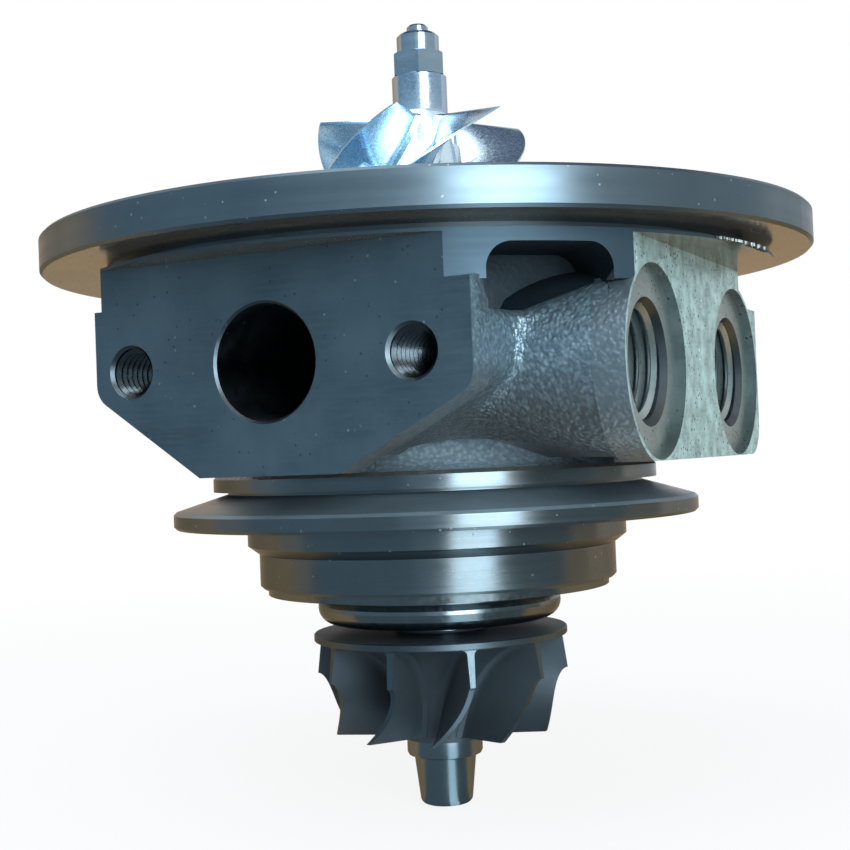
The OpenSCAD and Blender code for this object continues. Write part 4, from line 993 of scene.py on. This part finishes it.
def neck_point(u, v):
    """A point of the neck, from the pad at u = 0 to the boss at u = 1, from top to foot with v."""
    rise = np.array((0, 0, ARCH * v * v))
    near_pad = pad_edge(v) + np.array((0, PAD_PULL + PAD_PULL_LOW * v * v, 0)) + rise
    near_boss = boss_edge(v, SKIN_DEPTH - BOSS_PULL - BOSS_PULL_LOW * v * v) + rise
    return ((1 - u) ** 3 * pad_edge(v) + 3 * u * (1 - u) ** 2 * near_pad
            + 3 * u * u * (1 - u) * near_boss + u ** 3 * boss_edge(v, SKIN_DEPTH))


print("middle of the neck:", np.round(neck_point(0.5, 0.5), 1), "mm")

# %% [markdown]
# ### The pocket's lip
# A pocket is sunk into the top of the neck. Cutting the grid there would leave a torn edge, so the grid
# bends inward instead: over a rounded lip, then along the pocket's floor.

# %% Pocket's lip
POCKET_LOW, POCKET_HALF_W, LIP_R, FLOOR_STRETCH = -12.5, 7.7, 1.1, 2.2
LIP_RISE, LIP_RISE_FROM = 0.36, -1.0


def inside_pocket(p):
    """How far a point lies inside the pocket's opening, in millimetres; less than zero is outside."""
    side = p @ np.array(POCKET_SIDE)
    low = POCKET_LOW + LIP_RISE * max(0.0, side - LIP_RISE_FROM)
    return min(p[2] - low, side + POCKET_HALF_W, POCKET_HALF_W - side)


def over_lip(p):
    """A point of the neck; in the pocket's opening it goes round the lip and along the floor."""
    s = inside_pocket(p)
    t = s + LIP_R
    if t <= 0:
        return p
    step = 0.01
    slope = np.array([(inside_pocket(p + step * axis) - s) / step for axis in np.eye(3)])
    inward = np.array(POCKET_AXIS)
    slope -= inward * (slope @ inward)
    slope /= max(np.linalg.norm(slope), 0.001)
    angle = min(t / LIP_R, math.pi / 2)
    depth = LIP_R * (1 - math.cos(angle)) + FLOOR_STRETCH * max(0.0, t - LIP_R * math.pi / 2)
    return p + slope * (LIP_R * math.sin(angle) - LIP_R - s) - inward * depth


print("top of the neck's middle is", round(inside_pocket(neck_point(0.5, 0.0)), 1), "mm in the pocket")

# %% [markdown]
# ### The neck's skin
# The grid goes on along the boss, up to the milled face. It ends flush with the faces at both sides,
# and it is smoother in the pocket, which is painted darker, as painted shade.

# %% Neck skin
COLUMNS, BOSS_COLUMNS, ROWS = 270, 24, 240
ACROSS_NECK = COLUMNS + BOSS_COLUMNS
BOSS_REACH = PORT_FACE - 0.25 - SKIN_DEPTH
NECK_LIFT, EDGE_START, POCKET_CALM, POCKET_SHADE_IN = 0.2, 0.3, 0.85, 1.0
boss_depths = [SKIN_DEPTH + BOSS_REACH * k / BOSS_COLUMNS for k in range(1, BOSS_COLUMNS + 1)]
neck_flat = [[neck_point(i / COLUMNS, j / ROWS) for i in range(COLUMNS + 1)]
             + [boss_edge(j / ROWS, depth) for depth in boss_depths] for j in range(ROWS + 1)]
neck_grid = np.array([[over_lip(p) for p in row] for row in neck_flat])


def neck_lift(i, j, p):
    """Lift of the neck's skin over the solid."""
    fade = min(1.0, (i + EDGE_START) / EDGE_FADE, (ACROSS_NECK - i + EDGE_START) / EDGE_FADE)
    calm = 1 - POCKET_CALM * min(1.0, max(0.0, inside_pocket(neck_flat[j][i]) + 0.5))
    return (NECK_LIFT + grain_height(p) * calm) * fade


neck = cast_skin("neck_cast_skin", neck_grid, (0.7, -0.7, 0), neck_lift, cast_neck)
neck.data.materials.append(pocket_painted_shade)
for face in neck.data.polygons:
    j, i = divmod(face.index, ACROSS_NECK)
    # Deep in the pocket the skin takes the near-black copy: painted shade.
    face.material_index = int(inside_pocket(neck_flat[j][i]) > POCKET_SHADE_IN)

# %% [markdown]
# ### The skirt's skin
# Under the neck the barrel flares out to the turned collar. Its grid goes all the way round, and its
# grain runs out at the collar. Its finish is painted light: much paler than the cast iron, with
# near-white crests.

# %% Skirt skin
SKIRT_COLUMNS, SKIRT_ROWS, SKIRT_LIFT = 880, 42, 0.12
BARREL_R, SKIRT_OUT, Z_SKIRT, SKIRT_DROP = 26.5, 4.5, -23.95, 6.7


def skirt_point(i, j):
    flare = math.pi / 2 * j / SKIRT_ROWS
    return polar(BARREL_R + SKIRT_OUT * (1 - math.cos(flare)), 2 * math.pi * i / SKIRT_COLUMNS,
                 Z_SKIRT - SKIRT_DROP * math.sin(flare))


def skirt_lift(i, j, p):
    """Lift of the skirt's skin over the solid."""
    return (SKIRT_LIFT + grain_height(p)) * min(1.0, (SKIRT_ROWS - j) / EDGE_FADE)


skirt_grid = np.array([[skirt_point(i, j) for i in range(SKIRT_COLUMNS)]
                       for j in range(SKIRT_ROWS + 1)])
cast_skin("skirt_cast_skin", skirt_grid, (-1, 0, 0.7), skirt_lift, skirt_painted_light, closed=True)

# %% [markdown]
# ## Burr on the lip
# The cutter that milled the coolant face stopped just short of the undercut and left a thin ragged lip.
# Its torn edge is a short strip of uneven teeth along the land's rim, which grow toward one end.

# %% Burr
BURR_FROM, BURR_TO, BURR_STEPS = -16.0, 4.0, 150
BURR_IN, BURR_OUT, RAGGED_OUT, TOOTH_LEAST, TOOTH_GROWS = 0.9, 0.1, 0.5, 0.25, 0.35
burr_points = []
for k in range(BURR_STEPS + 1):
    angle = math.radians(BURR_FROM + (BURR_TO - BURR_FROM) * k / BURR_STEPS)
    rough_edge = noise.noise(Vector((k * 0.45, 3.1, 0.0)))
    tooth = TOOTH_LEAST + TOOTH_GROWS * max(0.0, rough_edge) * (0.3 + 0.7 * k / BURR_STEPS) * 2
    r_in = LAND_R - BURR_IN
    r_out = LAND_R + BURR_OUT + RAGGED_OUT * abs(noise.noise(Vector((k * 0.31, 9.7, 2.0))))
    burr_points += [polar(r_in, angle, -3.72), polar(r_out, angle, -3.70),
                    polar(r_out, angle, -3.78 - tooth), polar(r_in, angle, -4.0)]
piece("lip_burr", burr_points, swept(BURR_STEPS), burr_steel, "housing", smooth=False)

# %% [markdown]
# ## Studio
# A pale floor and a white surround. Both look white to the camera and in reflections, while the light
# that falls on the part stays plain. Near the part the floor keeps a little of its own shade, so that
# the shadow under the part shows.

# %% Stage helpers
FLOOR_GAP, FLOOR_HALF = 0.0004, 4.0
FLOOR_Z = cad_box[0][2] - FLOOR_GAP


def sees_white(tree):
    """1 for camera, glossy and transmission rays."""
    path = add(tree, "ShaderNodeLightPath").outputs
    shown = maths(tree, "MAXIMUM", path["Is Camera Ray"], path["Is Glossy Ray"])
    return maths(tree, "MAXIMUM", shown, path["Is Transmission Ray"])


def bare_tree(owner):
    """The emptied node tree of a material or a world."""
    owner.use_nodes = True
    owner.node_tree.nodes.clear()
    return owner.node_tree


def stage_mesh(name, corners, faces, material):
    """A stage piece from its corners in metres."""
    mesh = bpy.data.meshes.new(name)
    mesh.from_pydata(corners, [], faces)
    mesh.materials.append(material)
    obj = bpy.data.objects.new(name, mesh)
    bpy.context.scene.collection.objects.link(obj)
    return obj


def level(x_from, x_to, y_from, y_to, z):
    """Corners of a level rectangle."""
    return [(x_from, y_from, z), (x_to, y_from, z), (x_to, y_to, z), (x_from, y_to, z)]


print("floor at", round(FLOOR_Z, 4), "m")

# %% Floor and surround
SHADE_TO, WHITE_FROM, WHITE_UNDER = 0.12, 0.40, 0.88
floor_finish = bpy.data.materials.new("floor_pale")
tree = bare_tree(floor_finish)
matt = add(tree, "ShaderNodeBsdfDiffuse", {"Color": rgb(0.86, 0.85, 0.83)})
white = add(tree, "ShaderNodeEmission", {"Color": rgb(1, 1, 1), "Strength": 1.0})
spot = add(tree, "ShaderNodeNewGeometry").outputs["Position"]
away = add(tree, "ShaderNodeVectorMath", {0: spot}, operation="LENGTH").outputs["Value"]
share = maths(tree, "MULTIPLY", sees_white(tree),
              ramp(tree, away, SHADE_TO, WHITE_FROM, WHITE_UNDER, 1.0))
mixed = add(tree, "ShaderNodeMixShader", {0: share, 1: matt.outputs[0], 2: white.outputs[0]})
add(tree, "ShaderNodeOutputMaterial", {0: mixed.outputs[0]})
stage_mesh("floor", level(-FLOOR_HALF, FLOOR_HALF, -FLOOR_HALF, FLOOR_HALF, FLOOR_Z), [(0, 1, 2, 3)],
           floor_finish)

world = bpy.data.worlds.new("surround")
bpy.context.scene.world = world
tree = bare_tree(world)
soft = add(tree, "ShaderNodeBackground", {0: rgb(0.80, 0.88, 1.0), 1: 0.45})
bright = add(tree, "ShaderNodeBackground", {0: rgb(1, 1, 1), 1: 1.0})
shown = sees_white(tree)
mixed = add(tree, "ShaderNodeMixShader", {0: shown, 1: soft.outputs[0], 2: bright.outputs[0]})
add(tree, "ShaderNodeOutputWorld", {0: mixed.outputs[0]})
print("surround:", world.name, "with", len(tree.nodes), "nodes")

# %% [markdown]
# ### Cards
# Bare metal shows whatever stands round it, so dim cards stand out of view: a blue-grey room in front
# and a darker one to the right, a warm wall at the left, a strip of sky over the room and a dark
# ceiling behind. On the floor lie a wooden board, two dark mats and a bright patch under the window.
# Only reflections see the cards, so they throw no shadow and never stand in another view's way.

# %% Cards that only reflections see
CARD_DISTANCE, CARD_STEPS, CARD_HIGH, MAT_GAP = 0.60, 12, 0.26, 0.0002


def card(name, corners, faces, color):
    """A dim glowing card."""
    material = bpy.data.materials.new(name + "_glow")
    tree = bare_tree(material)
    glow = add(tree, "ShaderNodeEmission", {"Color": rgb(*color), "Strength": 1.0})
    add(tree, "ShaderNodeOutputMaterial", {0: glow.outputs[0]})
    obj = stage_mesh(name, corners, faces, material)
    obj.visible_camera = obj.visible_diffuse = obj.visible_shadow = False


def fan(start, end, reach):
    """Places round the part between two directions in degrees."""
    turns = [math.radians(start + (end - start) * k / CARD_STEPS) for k in range(CARD_STEPS + 1)]
    return [(reach * math.cos(a), reach * math.sin(a)) for a in turns]


def wall(name, start, end, color, low=FLOOR_Z, high=CARD_HIGH):
    """A card bent round the part between two directions in degrees."""
    corners = [(x, y, z) for x, y in fan(start, end, CARD_DISTANCE) for z in (low, high)]
    card(name, corners, [(2 * k, 2 * k + 2, 2 * k + 3, 2 * k + 1) for k in range(CARD_STEPS)], color)


def mat(name, start, end, color, reach=CARD_DISTANCE):
    """A level card like a slice of pie under the part, between two directions in degrees."""
    corners = [(x, y, FLOOR_Z + MAT_GAP) for x, y in [(0, 0)] + fan(start, end, reach)]
    card(name, corners, [tuple(range(CARD_STEPS + 2))], color)


wall("room_left", -165, -76, (0.24, 0.37, 0.47))
wall("room_middle", -76, -58, (0.42, 0.60, 0.72))
wall("room_right", -22, 45, (0.20, 0.27, 0.30), high=0.02)
wall("room_right_high", -22, 45, (0.48, 0.60, 0.66), low=0.02)
wall("warm_wall", 128, 195, (0.50, 0.39, 0.27), high=0.05)
wall("warm_wall_high", 128, 195, (0.90, 0.66, 0.47), low=0.05)
wall("sky_left", -165, -76, (0.70, 0.95, 1.10), low=CARD_HIGH, high=0.55)
card("dark_ceiling", level(-0.60, 0.45, 0.02, 0.85, 0.75), [(0, 1, 2, 3)], (0.12, 0.14, 0.20))
mat("wooden_board", 20, 215, (0.62, 0.43, 0.24), reach=1.5)
mat("floor_at_left", -145, -54, (0.17, 0.24, 0.29))
mat("floor_under_window", -54, -28, (1.3, 1.75, 2.0))
mat("floor_at_right", -28, 20, (0.15, 0.20, 0.22))
print("cards:", len([m for m in bpy.data.materials if m.name.endswith("_glow")]))

# %% [markdown]
# ### Lamps
# One soft window to the right of the camera draws the bright lines down the turned steps, and a broad
# lamp above fills in the rest. Both are area lamps, so their edges are soft.

# %% Lamps
LAMPS_FACE = Vector((0, 0, -0.02))


def lamp(name, azimuth, elevation, distance, width, height, power, color):
    """An area lamp that faces the part."""
    data = bpy.data.lights.new(name, "AREA")
    data.shape = "RECTANGLE"
    data.size, data.size_y = width, height
    data.energy, data.color = power, color
    obj = bpy.data.objects.new(name, data)
    a, e = math.radians(azimuth), math.radians(elevation)
    spot = Vector((math.cos(a) * math.cos(e), math.sin(a) * math.cos(e), math.sin(e))) * distance
    obj.location = spot
    obj.rotation_euler = (LAMPS_FACE - spot).to_track_quat("-Z", "Y").to_euler()
    bpy.context.scene.collection.objects.link(obj)


lamp("window_right", -41, 10, 0.62, 0.30, 0.36, 2.8, (0.72, 0.90, 1.0))
lamp("sky_above", -80, 62, 0.70, 0.60, 0.45, 4.2, (0.78, 0.90, 1.0))
print("lamps:", len(bpy.data.lights))
